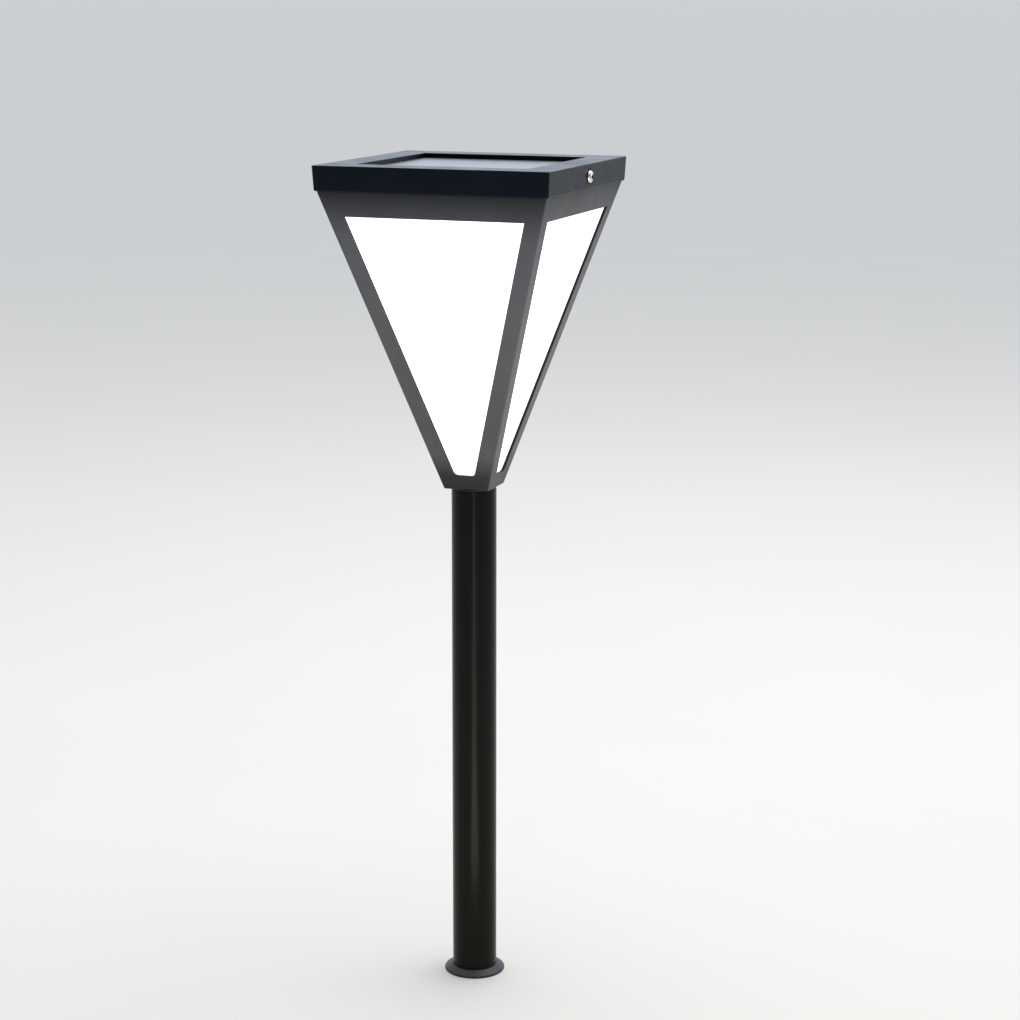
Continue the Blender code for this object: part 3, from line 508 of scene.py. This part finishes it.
# Painted shade: this height ramp darkens the band to a bluish near-black under the lid; it also makes the
# foot darker.
rise = add_node(tree, "ShaderNodeMapRange",
                {"Value": up.outputs["Z"], "From Min": frame_low.z, "From Max": shoulder})
painted_shade_ramp = add_node(tree, "ShaderNodeValToRGB", {"Fac": rise.outputs["Result"]})
stops = painted_shade_ramp.color_ramp.elements
stops[0].color, stops[1].color = linear("#505050"), linear("#1B1D24")
for share, code in ((0.05, "#747472"), (0.12, "#E8E8E6"), (0.6, "#FFFFFF"), (0.86, "#ECEFF6"),
                    (0.93, "#ADB3C0")):
    stops.new(share).color = linear(code)
moulding_colour = shader.inputs["Base Color"].links[0].from_socket
shaded_colour = add_node(tree, "ShaderNodeVectorMath",
                 {0: moulding_colour, 1: painted_shade_ramp.outputs["Color"]}, operation="MULTIPLY")
tree.links.new(shaded_colour.outputs["Vector"], shader.inputs["Base Color"])
# Painted shade: a near-black finish for the window reveals, standing in for the shade on them.
reveal_shade = moulded("black painted shade on window reveals", "#0B0A0E", 0.6, specular=0.15)
top_half = frame_high.x
foot_half = 19.5 * mm
slope = (top_half - foot_half) / (shoulder - frame_low.z)
tilt = math.atan(slope)
wall = 2.5 * mm
upstand_outside = 96.3 * mm
upstand_inside = 93.9 * mm
floor_top = frame_low.z + 3.5 * mm
inside_start = shoulder - (top_half - wall / math.cos(tilt) - upstand_inside) / slope
lantern = box_shape((-top_half, -top_half, frame_low.z), (top_half, top_half, shoulder))
narrowing = foot_half / top_half
bmesh.ops.scale(lantern, verts=end_face(lantern, -1).verts, vec=(narrowing, narrowing, 1))
lantern.normal_update()
posts = [edge for edge in lantern.edges if abs(edge.verts[0].co.z - edge.verts[1].co.z) > mm]
middle = sunk(lantern, end_face(lantern, 1), top_half - upstand_outside, frame_high.z - shoulder)
middle = sunk(lantern, middle, upstand_outside - upstand_inside, inside_start - frame_high.z)
sunk(lantern, middle, 0, floor_top - inside_start, 1 - slope * (inside_start - floor_top) / upstand_inside)
rounded(lantern, posts + level_edges(lantern, frame_low.z, 0, foot_half + mm), 1 * mm, 3)
rounded(lantern, level_edges(lantern, frame_high.z, 0, top_half), 0.4 * mm)
low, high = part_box("lid_screw_right")
screw_z = (low.z + high.z) / 2
slot_half = shank + 0.5 * mm
window_top = 20 * mm
window_foot = 238 * mm
side_bar = 14.5 * mm
window_corner = 3 * mm
cutter_reach = 8 * mm
cutters = [drill(shank_hole, frame_low.z - mm, floor_top + mm)]
for side in (-1, 1):
    slot = box_shape((-5 * mm, -slot_half, screw_z - slot_half), (5 * mm, slot_half, frame_high.z + mm))
    cutters.append(moved(slot, to=(side * upstand_outside, 0, 0)))
for quarter in range(4):
    corners = []
    for depth, side in ((window_top, 1), (window_top, -1), (window_foot, -1), (window_foot, 1)):
        half = top_half - slope * depth
        corners.append((side * (half - side_bar), -half - cutter_reach, shoulder - depth))
    window = plate_shape(corners, 2 * cutter_reach)
    low_edges = [edge for edge in window.edges
                 if all(corner.co.z < shoulder - window_foot + mm for corner in edge.verts)
                 and abs(edge.verts[0].co.y - edge.verts[1].co.y) > mm]
    cutters.append(moved(rounded(window, low_edges, window_corner, 6), quarter * math.pi / 2))
lantern = combined(lantern, cutters, "DIFFERENCE")


def at_window(spot, nearest, farthest):
    """Whether a point lies on a window's outline or inside it, between two depths from outside."""
    across, out = sorted((abs(spot.x), abs(spot.y)))
    half = top_half - slope * (shoulder - spot.z)
    return nearest < half - out < farthest and across < half - side_bar + 0.1 * mm


outlines = [edge for edge in lantern.edges
            if all(at_window(corner.co, -0.02 * mm, 0.02 * mm) for corner in edge.verts)
            and edge.calc_face_angle(0) > sharp]
edge_break = 0.4 * mm
rounded(lantern, outlines, edge_break)
# Painted shade: the reveal faces round each window take the black second finish.
for face in lantern.faces:
    middle = face.calc_center_median()
    below_band = middle.z < shoulder - 15 * mm
    if below_band and at_window(middle, edge_break + 0.05 * mm, wall):
        face.material_index = 1
add_piece("lantern_moulding", lantern, lantern_abs, "lantern", "frame_plastic", "lantern_frame",
          second=reveal_shade)


# Diffusers
# Four sheets of opal polystyrene, 2 mm thick, bonded behind the windows. Lit from inside they
# glow an even white, a touch stronger near the lamp at the top.
opal, tree, shader, place = new_material("lit opal polystyrene sheet")
up = add_node(tree, "ShaderNodeSeparateXYZ", {"Vector": place})
glow = add_node(tree, "ShaderNodeMapRange", {"Value": up.outputs["Z"], "From Min": frame_low.z,
                                             "From Max": shoulder, "To Min": 1.05, "To Max": 1.3})
milk = add_node(tree, "ShaderNodeTexNoise", {"Vector": place, "Scale": 60.0, "Detail": 2.0})
cloud = add_node(tree, "ShaderNodeMix",
                 {"Factor": milk.outputs["Fac"], 6: linear("#FFFDF8"), 7: linear("#FDFEFF")},
                 data_type="RGBA")
tree.links.new(cloud.outputs[2], shader.inputs["Base Color"])
tree.links.new(cloud.outputs[2], shader.inputs["Emission Color"])
tree.links.new(glow.outputs["Result"], shader.inputs["Emission Strength"])
shader.inputs["Roughness"].default_value = 0.3
shader.inputs["IOR"].default_value = 1.59
inset = 7.5 * mm
lap = 5 * mm
behind_face = (wall + gap) / math.cos(tilt)
for quarter, word in enumerate(("front", "right", "back", "left")):
    corners = []
    for depth, side in ((window_top - lap, 1), (window_top - lap, -1), (window_foot + lap, -1),
                        (window_foot + lap, 1)):
        half = top_half - slope * depth
        corners.append((side * (half - inset), behind_face - half, shoulder - depth))
    sheet = plate_shape(corners, 2 * mm / math.cos(tilt))
    rounded(sheet, list(sheet.edges), 0.3 * mm)
    add_piece(f"opal_sheet_{word}", moved(sheet, quarter * math.pi / 2), opal, "lantern", "diffuser_opal",
              f"diffuser_{word}")


# Lid
# One blue-black ABS moulding: a broad rim round a recess for the panel, a skirt with a little
# draft, four bosses and sixteen ribs under the rim, and a round seat for each side screw.
lid_abs = moulded("blue-black ABS, satin moulded", "#060A11", 0.36, specular=0.18)
# Painted reflection: the blue specular tint gives the lid's reflections a bluish cast.
lid_abs.node_tree.nodes["Principled BSDF"].inputs["Specular Tint"].default_value = linear("#BCD2F2")
cover_low, cover_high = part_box("lid_cover")
lid_half = cover_high.y
draft = 1.1 * mm
skirt_inside = lid_half - draft - 2.3 * mm
rim_wall = 2.5 * mm
rim_foot = cover_high.z - rim_wall
panel_low, panel_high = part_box("solar_panel")
recess_half = panel_high.x + 0.5 * mm
deck_top = panel_low.z - 1.6 * mm
deck_foot = deck_top - 2 * mm
lid = box_shape((-lid_half, -lid_half, cover_low.z), (lid_half, lid_half, cover_high.z))
bmesh.ops.scale(lid, verts=end_face(lid, -1).verts, vec=(1 - draft / lid_half, 1 - draft / lid_half, 1))
lid.normal_update()
sunk(lid, end_face(lid, 1), lid_half - recess_half, deck_top - cover_high.z)
middle = sunk(lid, end_face(lid, -1), lid_half - draft - skirt_inside, rim_foot - cover_low.z)
sunk(lid, middle, skirt_inside - recess_half - rim_wall, deck_foot - rim_foot)
rounded(lid, upright_edges(lid, lid_half - 2 * draft, lid_half + mm), 1.5 * mm, 4)
rounded(lid, upright_edges(lid, recess_half - mm, recess_half + mm), 1 * mm, 3)
rounded(lid, level_edges(lid, cover_high.z, recess_half + mm, lid_half + mm), 0.7 * mm, 3)
rounded(lid, level_edges(lid, cover_high.z, recess_half - mm, recess_half + mm), 0.4 * mm)
rounded(lid, level_edges(lid, cover_low.z, skirt_inside + mm, lid_half), 1.3 * mm, 3)
small_hole = 1.55 * mm
screw_place = (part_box("tray_screw_1")[0].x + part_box("tray_screw_1")[1].x) / 2
boss_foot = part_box("lid_tray")[1].z + gap
boss_top = cover_high.z - rim_wall / 2
welded = []
for quarter in range(4):
    turn = quarter * math.pi / 2
    profile = [(0, boss_top), (4 * mm, boss_top), (4 * mm, boss_foot + 0.3 * mm), (3.7 * mm, boss_foot)]
    profile += [(small_hole, boss_foot), (small_hole, boss_top - 2 * mm), (0, boss_top - 2 * mm)]
    welded.append(moved(moved(turned(profile, 32), to=(screw_place, screw_place, 0)), turn))
    for along in (-58 * mm, -22 * mm, 22 * mm, 58 * mm):
        rib = plate_shape([(recess_half + rim_wall - 0.5 * mm, 0, rim_foot + 0.5 * mm),
                           (skirt_inside - 1.5 * mm, 0, rim_foot + 0.5 * mm),
                           (skirt_inside - 1.5 * mm, 0, rim_foot - mm),
                           (recess_half + rim_wall - 0.5 * mm, 0, deck_foot + 1.5 * mm)], 1.2 * mm)
        welded.append(moved(moved(rib, to=(0, along, 0)), turn))
lid = combined(lid, welded, "UNION")
washer_low, washer_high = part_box("screw_washer_right")
seat_x = washer_low.x - gap
seat_radius = washer_high.z - screw_z + 0.7 * mm
lid_at_screw = lid_half - draft * (cover_high.z - screw_z) / (cover_high.z - cover_low.z)
panel_lead_spot = (-20 * mm, 4 * mm)
cutters = [drill(2.5 * mm, deck_foot - mm, deck_top + mm, panel_lead_spot)]
for side in (-1, 1):
    profile = [(0, lid_half + mm), (seat_radius + 1.8 * mm, lid_half + mm)]
    profile += [(seat_radius + 0.3 * mm, lid_at_screw), (seat_radius, lid_at_screw - 0.3 * mm)]
    profile += [(seat_radius, seat_x), (shank_hole, seat_x), (shank_hole, skirt_inside - mm)]
    profile += [(0, skirt_inside - mm)]
    cutters.append(moved(turned(profile, 64), side * math.pi / 2, "Y", (0, 0, screw_z)))
lid = combined(lid, cutters, "DIFFERENCE")
add_piece("lid_moulding", lid, lid_abs, "lid", "lid_plastic", "lid_cover")


# Side screws
# Nickel-plated pan-head screws with painted shade in their cross recess, each on a black rubber
# washer in its seat, with a zinc-plated square nut behind the lantern's upstand.
nickel = plated("bright nickel plate", "#E4E0D8", 0.16)
rubber = moulded("black rubber", "#0A0A0A", 0.75)
for side, word in ((1, "right"), (-1, "left")):
    turn = side * math.pi / 2
    low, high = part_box(f"lid_screw_{word}")
    inner, out = sorted((abs(low.x), abs(high.x)))
    head_height = 2.8 * mm
    screw = screw_shape(high.y, head_height, shank, out - head_height - inner, 0.7 * mm)
    add_piece(f"side_screw_{word}", moved(screw, turn, "Y", (side * (out - head_height), 0, screw_z)),
              nickel, "lid", "bright_steel", f"lid_screw_{word}", second=recess_shade)
    low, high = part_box(f"screw_washer_{word}")
    inner, out = sorted((abs(low.x), abs(high.x)))
    ring = moved(turned(ring_profile(shank_hole, high.y, inner, out), 48), turn, "Y", (0, 0, screw_z))
    add_piece(f"side_washer_{word}", ring, rubber, "lid", "washer_rubber", f"screw_washer_{word}")
    low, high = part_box(f"lid_nut_{word}")
    nut = box_shape(low, high)
    rounded(nut, list(nut.edges), 0.4 * mm)
    hole = moved(drill(shank + 0.05 * mm, 80 * mm, 110 * mm), turn, "Y", (0, 0, screw_z))
    add_piece(f"square_nut_{word}", combined(nut, [hole], "DIFFERENCE"), zinc, "lid", "zinc_steel",
              f"lid_nut_{word}")


# Solar panel
# Twelve dark silicon cells in two columns on a black board, under poured clear resin with a
# softly rounded edge. Black foam tape bonds it into the recess.
laminate, tree, shader, place = new_material("silicon cells under poured resin")
per_mm = 1 / mm
in_mm = add_node(tree, "ShaderNodeMapping",
                 {"Vector": place, "Scale": (per_mm, per_mm, per_mm)}).outputs["Vector"]
cell_wide = 68.0
cell_deep = 22.8
bar_wide = 0.9
finger_spacing = 1.6
finger_wide = 0.2
from_corner = add_node(tree, "ShaderNodeMapping",
                       {"Vector": in_mm, "Location": (cell_wide, 3 * cell_deep, 0.0)})
cells = add_node(tree, "ShaderNodeTexBrick",
                 {"Vector": from_corner.outputs["Vector"], "Scale": 1.0, "Brick Width": cell_wide,
                  "Row Height": cell_deep, "Mortar Size": 0.7, "Mortar Smooth": 0.1, "Bias": 0.0,
                  "Color1": linear("#121420"), "Color2": linear("#171A29"), "Mortar": linear("#08090A")},
                 offset=0.0, squash=1.0)
apart = add_node(tree, "ShaderNodeSeparateXYZ", {"Vector": in_mm})


def stripes(place, spacing, width):
    """1 on thin lines that repeat along one coordinate, 0 between them."""
    fold = add_node(tree, "ShaderNodeMath", {0: place, 1: spacing / 2}, operation="PINGPONG")
    on_line = add_node(tree, "ShaderNodeMath", {0: fold.outputs[0], 1: width / 2}, operation="LESS_THAN")
    return on_line.outputs[0]


def inside(place, half):
    """1 where a coordinate lies within a distance of the middle."""
    size = add_node(tree, "ShaderNodeMath", {0: place}, operation="ABSOLUTE")
    near = add_node(tree, "ShaderNodeMath", {0: size.outputs[0], 1: half}, operation="LESS_THAN")
    return near.outputs[0]


between = add_node(tree, "ShaderNodeMath", {0: apart.outputs["Y"], 1: cell_deep / 4}, operation="ADD")
bars = stripes(between.outputs[0], cell_deep / 2, bar_wide)
fingers = stripes(apart.outputs["X"], finger_spacing, finger_wide)
faint = add_node(tree, "ShaderNodeMath", {0: fingers, 1: 0.25}, operation="MULTIPLY")
lines = add_node(tree, "ShaderNodeMath", {0: bars, 1: faint.outputs[0]}, operation="MAXIMUM")
on_cell = add_node(tree, "ShaderNodeMath", {0: 1.0, 1: cells.outputs["Fac"]}, operation="SUBTRACT")
within = add_node(tree, "ShaderNodeMath",
                  {0: inside(apart.outputs["X"], cell_wide - 0.8),
                   1: inside(apart.outputs["Y"], 3 * cell_deep - 0.8)}, operation="MULTIPLY")
area = add_node(tree, "ShaderNodeMath", {0: on_cell.outputs[0], 1: within.outputs[0]}, operation="MULTIPLY")
silver = add_node(tree, "ShaderNodeMath", {0: lines.outputs[0], 1: area.outputs[0]}, operation="MULTIPLY")
board = add_node(tree, "ShaderNodeMix",
                 {"Factor": within.outputs[0], 6: linear("#08090A"), 7: cells.outputs["Color"]},
                 data_type="RGBA")
printed = add_node(tree, "ShaderNodeMix",
                   {"Factor": silver.outputs[0], 6: board.outputs[2], 7: linear("#8E9196")},
                   data_type="RGBA")
ripple = add_node(tree, "ShaderNodeTexNoise", {"Vector": in_mm, "Scale": 0.08, "Detail": 2.0})
bump = add_node(tree, "ShaderNodeBump",
                {"Height": ripple.outputs["Fac"], "Strength": 0.3, "Distance": 0.05 * mm})
tree.links.new(printed.outputs[2], shader.inputs["Base Color"])
tree.links.new(bump.outputs["Normal"], shader.inputs["Coat Normal"])
shader.inputs["Roughness"].default_value = 0.5
shader.inputs["Specular IOR Level"].default_value = 0.1
shader.inputs["Coat Weight"].default_value = 1.0
shader.inputs["Coat Roughness"].default_value = 0.28
shader.inputs["Coat IOR"].default_value = 1.3
panel = box_shape(panel_low, panel_high)
rounded(panel, upright_edges(panel, 0, panel_high.x + mm), 1.5 * mm, 4)
rounded(panel, level_edges(panel, panel_high.z, 0, panel_high.x + mm), 0.6 * mm, 3)
add_piece("panel_laminate", panel, laminate, "lid", "panel_laminate", "solar_panel")


def refinish(material, *names):
    """Give CAD nodes whose shape is right their finish."""
    for name in names:
        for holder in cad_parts[name].material_slots:
            holder.material = material


refinish(moulded("black foam tape", "#141414", 0.9, grain=1.2 * mm, depth=0.15 * mm), "panel_bond")


# Electronics tray
# White ABS box that hangs under the lid's deck by a wide flange, with eight gussets under the
# flange and two posts for the controller. A grey silicone gasket seals it, and four screws hold it.
tray_abs = moulded("white ABS, moulded", "#D6D6D2", 0.45)
tray_low, tray_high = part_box("lid_tray")
flange_half = tray_high.x
tray_half = 60 * mm
tray_inside = 58 * mm
flange_low = tray_high.z - 2 * mm
tray_floor = tray_low.z + 2 * mm
tray = box_shape((-flange_half, -flange_half, flange_low), (flange_half, flange_half, tray_high.z))
sunk(tray, end_face(tray, -1), flange_half - tray_half, tray_low.z - flange_low)
sunk(tray, end_face(tray, 1), flange_half - tray_inside, tray_floor - tray_high.z)
rounded(tray, upright_edges(tray, flange_half - mm, flange_half + mm), 5 * mm, 6)
rounded(tray, upright_edges(tray, tray_half - 0.1 * mm, tray_half + mm), 3 * mm, 5)
rounded(tray, upright_edges(tray, tray_inside - mm, tray_inside + 0.1 * mm), 1 * mm, 3)
rounded(tray, level_edges(tray, tray_low.z, 0, tray_half + mm), 0.8 * mm, 3)
rounded(tray, level_edges(tray, flange_low, tray_half + mm, flange_half + mm), 0.4 * mm)
welded = []
cutters = []
for quarter in range(4):
    turn = quarter * math.pi / 2
    for along in (-30 * mm, 30 * mm):
        gusset = plate_shape([(tray_half - mm, 0, flange_low + 0.5 * mm),
                              (tray_half + 18 * mm, 0, flange_low + 0.5 * mm),
                              (tray_half + 18 * mm, 0, flange_low - mm),
                              (tray_half, 0, flange_low - 14 * mm),
                              (tray_half - mm, 0, flange_low - 14 * mm)], 1.6 * mm)
        welded.append(moved(moved(gusset, to=(0, along, 0)), turn))
    hole = drill(small_hole, flange_low - mm, tray_high.z + mm, (screw_place, screw_place))
    cutters.append(moved(hole, turn))
board_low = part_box("control_board")[0].z
for name in ("board_screw_1", "board_screw_2"):
    low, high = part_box(name)
    spot = ((low.x + high.x) / 2, (low.y + high.y) / 2)
    welded.append(drill(3 * mm, tray_floor - mm, board_low - gap, spot))
    cutters.append(drill(small_hole, tray_floor + mm, board_low + mm, spot))
neck_hole = 6.3 * mm
neck_spot = (0, -50 * mm)
lamp_lead_spot = (14 * mm, -12 * mm)
lamp_screw_x = 29 * mm
openings = [(neck_hole, neck_spot), (1.4 * mm, lamp_lead_spot)]
openings += [(small_hole, (-lamp_screw_x, 0)), (small_hole, (lamp_screw_x, 0))]
for radius, spot in openings:
    cutters.append(drill(radius, tray_low.z - mm, tray_floor + mm, spot))
tray = combined(combined(tray, welded, "UNION"), cutters, "DIFFERENCE")
add_piece("tray_moulding", tray, tray_abs, "lid", "tray_plastic", "lid_tray")
refinish(moulded("grey silicone rubber", "#8C8C88", 0.6), "tray_seal")
small_shank = 1.25 * mm


def small_screws(names, height, upside_down):
    """The small self-tapping screws inside the lid."""
    for name in names:
        low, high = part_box(name)
        middle = (low + high) / 2
        seat = low.z + height if upside_down else high.z - height
        length = (high.z - seat) if upside_down else (seat - low.z)
        screw = screw_shape((high.x - low.x) / 2, height, small_shank, length, 0.8 * mm)
        turn = math.pi if upside_down else 0
        add_piece(f"{name}_detail", moved(screw, turn, "X", (middle.x, middle.y, seat)), zinc, "lid",
                  "zinc_steel", name, second=recess_shade)


small_screws([f"tray_screw_{number}" for number in range(1, 5)], 2 * mm, True)


# Lamp
# Round board with a white mask over a copper ring, six white packages with a yellow phosphor
# window each, and two screws. It looks down into the lantern.
board_white, tree, shader, place = new_material("white solder mask on aluminium board")
flat = add_node(tree, "ShaderNodeMapping", {"Vector": place, "Scale": (1.0, 1.0, 0.0)})
ring_radius = 20 * mm
out = add_node(tree, "ShaderNodeVectorMath", {0: flat.outputs["Vector"]}, operation="LENGTH")
from_ring = add_node(tree, "ShaderNodeMath", {0: out.outputs["Value"], 1: ring_radius},
                     operation="SUBTRACT")
ring_size = add_node(tree, "ShaderNodeMath", {0: from_ring.outputs[0]}, operation="ABSOLUTE")
track = add_node(tree, "ShaderNodeMapRange", {"Value": ring_size.outputs[0], "From Min": 1.9 * mm,
                                              "From Max": 2.2 * mm, "To Min": 1.0, "To Max": 0.0})
mask = add_node(tree, "ShaderNodeMix",
                {"Factor": track.outputs["Result"], 6: linear("#E9E9E4"), 7: linear("#DADCCF")},
                data_type="RGBA")
bump = add_node(tree, "ShaderNodeBump",
                {"Height": track.outputs["Result"], "Strength": 0.6, "Distance": 0.05 * mm})
tree.links.new(mask.outputs[2], shader.inputs["Base Color"])
tree.links.new(bump.outputs["Normal"], shader.inputs["Normal"])
shader.inputs["Roughness"].default_value = 0.35
refinish(board_white, "led_board")
package_white = moulded("white heat-resistant nylon", "#E8E6DE", 0.4)
phosphor, tree, shader, place = new_material("yellow phosphor in silicone, lit")
speckle = add_node(tree, "ShaderNodeTexNoise", {"Vector": place, "Scale": 1 / (0.25 * mm), "Detail": 2.0})
amber = add_node(tree, "ShaderNodeMix",
                 {"Factor": speckle.outputs["Fac"], 6: linear("#F6D868"), 7: linear("#FFE98C")},
                 data_type="RGBA")
tree.links.new(amber.outputs[2], shader.inputs["Base Color"])
tree.links.new(amber.outputs[2], shader.inputs["Emission Color"])
shader.inputs["Emission Strength"].default_value = 2.5
shader.inputs["Roughness"].default_value = 0.25
for number in range(1, 7):
    low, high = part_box(f"led_chip_{number}")
    middle = (low + high) / 2
    package = box_shape(low, high)
    rounded(package, list(package.edges), 0.25 * mm)
    cup = moved(turned([(0, 0.6 * mm), (1.7 * mm, 0.6 * mm), (2.1 * mm, -mm), (0, -mm)], 32),
                to=(middle.x, middle.y, low.z))
    add_piece(f"lamp_package_{number}", combined(package, [cup], "DIFFERENCE"), package_white, "lid",
              "led_board_white", f"led_chip_{number}")
    lens = turned([(0, 0.55 * mm), (1.65 * mm, 0.55 * mm), (1.85 * mm, 0.1 * mm), (0, 0.16 * mm)], 32)
    add_piece(f"lamp_phosphor_{number}", moved(lens, to=(middle.x, middle.y, low.z)), phosphor, "lid",
              "led_phosphor")
small_screws(("led_screw_1", "led_screw_2"), 1.8 * mm, True)


# Switch
# A push switch: black body inside the tray, a neck with a hexagon nut under it, and a red button
# with a domed end.
switch_black = moulded("black glass-filled nylon", "#191919", 0.4)
refinish(switch_black, "switch_body")
low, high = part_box("switch_nut")
middle = (low + high) / 2
nut = bmesh.new()
bmesh.ops.create_cone(nut, cap_ends=True, segments=6, radius1=high.x, radius2=high.x, depth=high.z - low.z)
rounded(nut, list(nut.edges), 0.35 * mm)
hole = drill(neck_hole, low.z - mm, high.z + mm, middle[:2])
nut = combined(moved(nut, to=middle), [hole], "DIFFERENCE")
add_piece("hexagon_nut", nut, switch_black, "lid", "switch_plastic", "switch_nut")
low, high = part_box("switch_button")
middle = (low + high) / 2
profile = [(0, low.z), (0.5 * high.x, low.z + 0.12 * mm), (0.8 * high.x, low.z + 0.45 * mm)]
profile += [(0.95 * high.x, low.z + 0.9 * mm), (high.x, low.z + 1.5 * mm), (high.x, high.z - 0.3 * mm)]
profile += [(high.x - 0.3 * mm, high.z), (0, high.z)]
add_piece("button", moved(turned(profile, 48), to=(0, middle.y, 0)), moulded("red acetal", "#A01C18", 0.3),
          "button", "button_plastic", "switch_button")


# Charge controller
# A green board with drawn copper tracks, held on two posts by two screws. On it stand a black
# chip, a wound coil and a can capacitor in a blue sleeve.
board_green, tree, shader, place = new_material("green solder mask on glass-fibre board")
tracks = add_node(tree, "ShaderNodeTexVoronoi", {"Vector": place, "Scale": 260.0},
                  feature="DISTANCE_TO_EDGE", distance="MANHATTAN")
copper = add_node(tree, "ShaderNodeMapRange", {"Value": tracks.outputs["Distance"], "From Min": 0.08,
                                               "From Max": 0.12, "To Min": 1.0, "To Max": 0.0})
green = add_node(tree, "ShaderNodeMix",
                 {"Factor": copper.outputs["Result"], 6: linear("#0F4A2A"), 7: linear("#2B7A46")},
                 data_type="RGBA")
tree.links.new(green.outputs[2], shader.inputs["Base Color"])
shader.inputs["Roughness"].default_value = 0.3
low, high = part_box("control_board")
board_top = low.z + 1.6 * mm
centre = (low + high) / 2
board = box_shape(low, (high.x, high.y, board_top))
rounded(board, list(board.edges), 0.2 * mm)
holes = []
for name in ("board_screw_1", "board_screw_2"):
    first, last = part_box(name)
    spot = ((first.x + last.x) / 2, (first.y + last.y) / 2)
    holes.append(drill(small_hole, low.z - mm, board_top + mm, spot))
board = combined(board, holes, "DIFFERENCE")
add_piece("controller_board", board, board_green, "lid", "board_green", "control_board")
small_screws(("board_screw_1", "board_screw_2"), 1.7 * mm, False)
chip = box_shape((centre.x - 2 * mm, centre.y - 6 * mm, board_top),
                 (centre.x + 6 * mm, centre.y, board_top + 1.6 * mm))
rounded(chip, list(chip.edges), 0.25 * mm)
add_piece("controller_chip", chip, switch_black, "lid", "switch_plastic")
profile = [(0, 4.5 * mm), (3.2 * mm, 4.5 * mm), (4 * mm, 4.1 * mm), (4 * mm, 3.5 * mm)]
for winding in range(5):
    profile += [(3.4 * mm, (3.35 - 0.5 * winding) * mm), (3.4 * mm, (3.05 - 0.5 * winding) * mm)]
profile += [(4 * mm, 0.8 * mm), (4 * mm, 0), (0, 0)]
coil = moved(turned(profile, 32), to=(centre.x - 11 * mm, centre.y + 4 * mm, board_top))
add_piece("controller_coil", coil, rubber, "lid", "washer_rubber")
sleeve = moulded("blue PVC shrink sleeve", "#1E4C86", 0.25)
profile = [(0, 7.7 * mm), (2.3 * mm, 7.7 * mm), (2.5 * mm, 8 * mm), (2.9 * mm, 8 * mm), (3 * mm, 7.7 * mm)]
profile += [(3 * mm, 1.4 * mm), (2.7 * mm, 1.1 * mm), (2.7 * mm, 0.8 * mm), (3 * mm, 0.5 * mm)]
profile += [(3 * mm, 0), (0, 0)]
capacitor = moved(turned(profile, 32), to=(centre.x + 13 * mm, centre.y + mm, board_top))
add_piece("controller_capacitor", capacitor, sleeve, "lid", "cell_sleeve")


# Battery
# One cell in a blue shrink sleeve, in a black open holder on foam tape, between a nickel plate
# and a coiled spring. PVC leads run from it, the panel, the switch and the lamp to the controller.
low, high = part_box("battery_cell")
middle = (low + high) / 2
radius = high.z - middle.z
length = high.x - low.x
cap = 1.2 * mm
profile = [(0, 0.2 * mm), (radius - 1.6 * mm, 0.2 * mm), (radius - 1.4 * mm, 0), (radius - 0.8 * mm, 0)]
profile += [(radius, 0.8 * mm), (radius, length - cap - 0.8 * mm), (radius - 0.8 * mm, length - cap)]
profile += [(radius - 1.6 * mm, length - cap), (radius - 1.8 * mm, length - cap - 0.2 * mm)]
profile += [(0, length - cap - 0.2 * mm)]
cell = moved(turned(profile, 48), math.pi / 2, "Y", (low.x, middle.y, middle.z))
add_piece("cell_in_sleeve", cell, sleeve, "lid", "cell_sleeve", "battery_cell")
profile = [(0, length), (2.6 * mm, length), (3 * mm, length - 0.4 * mm), (3 * mm, length - cap - 0.2 * mm)]
profile += [(0, length - cap - 0.2 * mm)]
cell_cap = moved(turned(profile, 32), math.pi / 2, "Y", (low.x, middle.y, middle.z))
add_piece("cell_cap", cell_cap, nickel, "lid", "contact_nickel")
refinish(moulded("black polypropylene", "#1C1C1C", 0.45), "battery_holder")
refinish(moulded("white foam tape", "#C8C8C2", 0.9, grain=1.2 * mm, depth=0.15 * mm), "holder_tape")
refinish(nickel, "contact_plus", "contact_minus", "contact_spring")
refinish(moulded("red PVC insulation", "#9E1B18", 0.4), "panel_lead", "battery_lead")
refinish(moulded("black PVC insulation", "#151515", 0.4), "switch_lead")
refinish(moulded("white PVC insulation", "#DADAD6", 0.4), "led_lead")
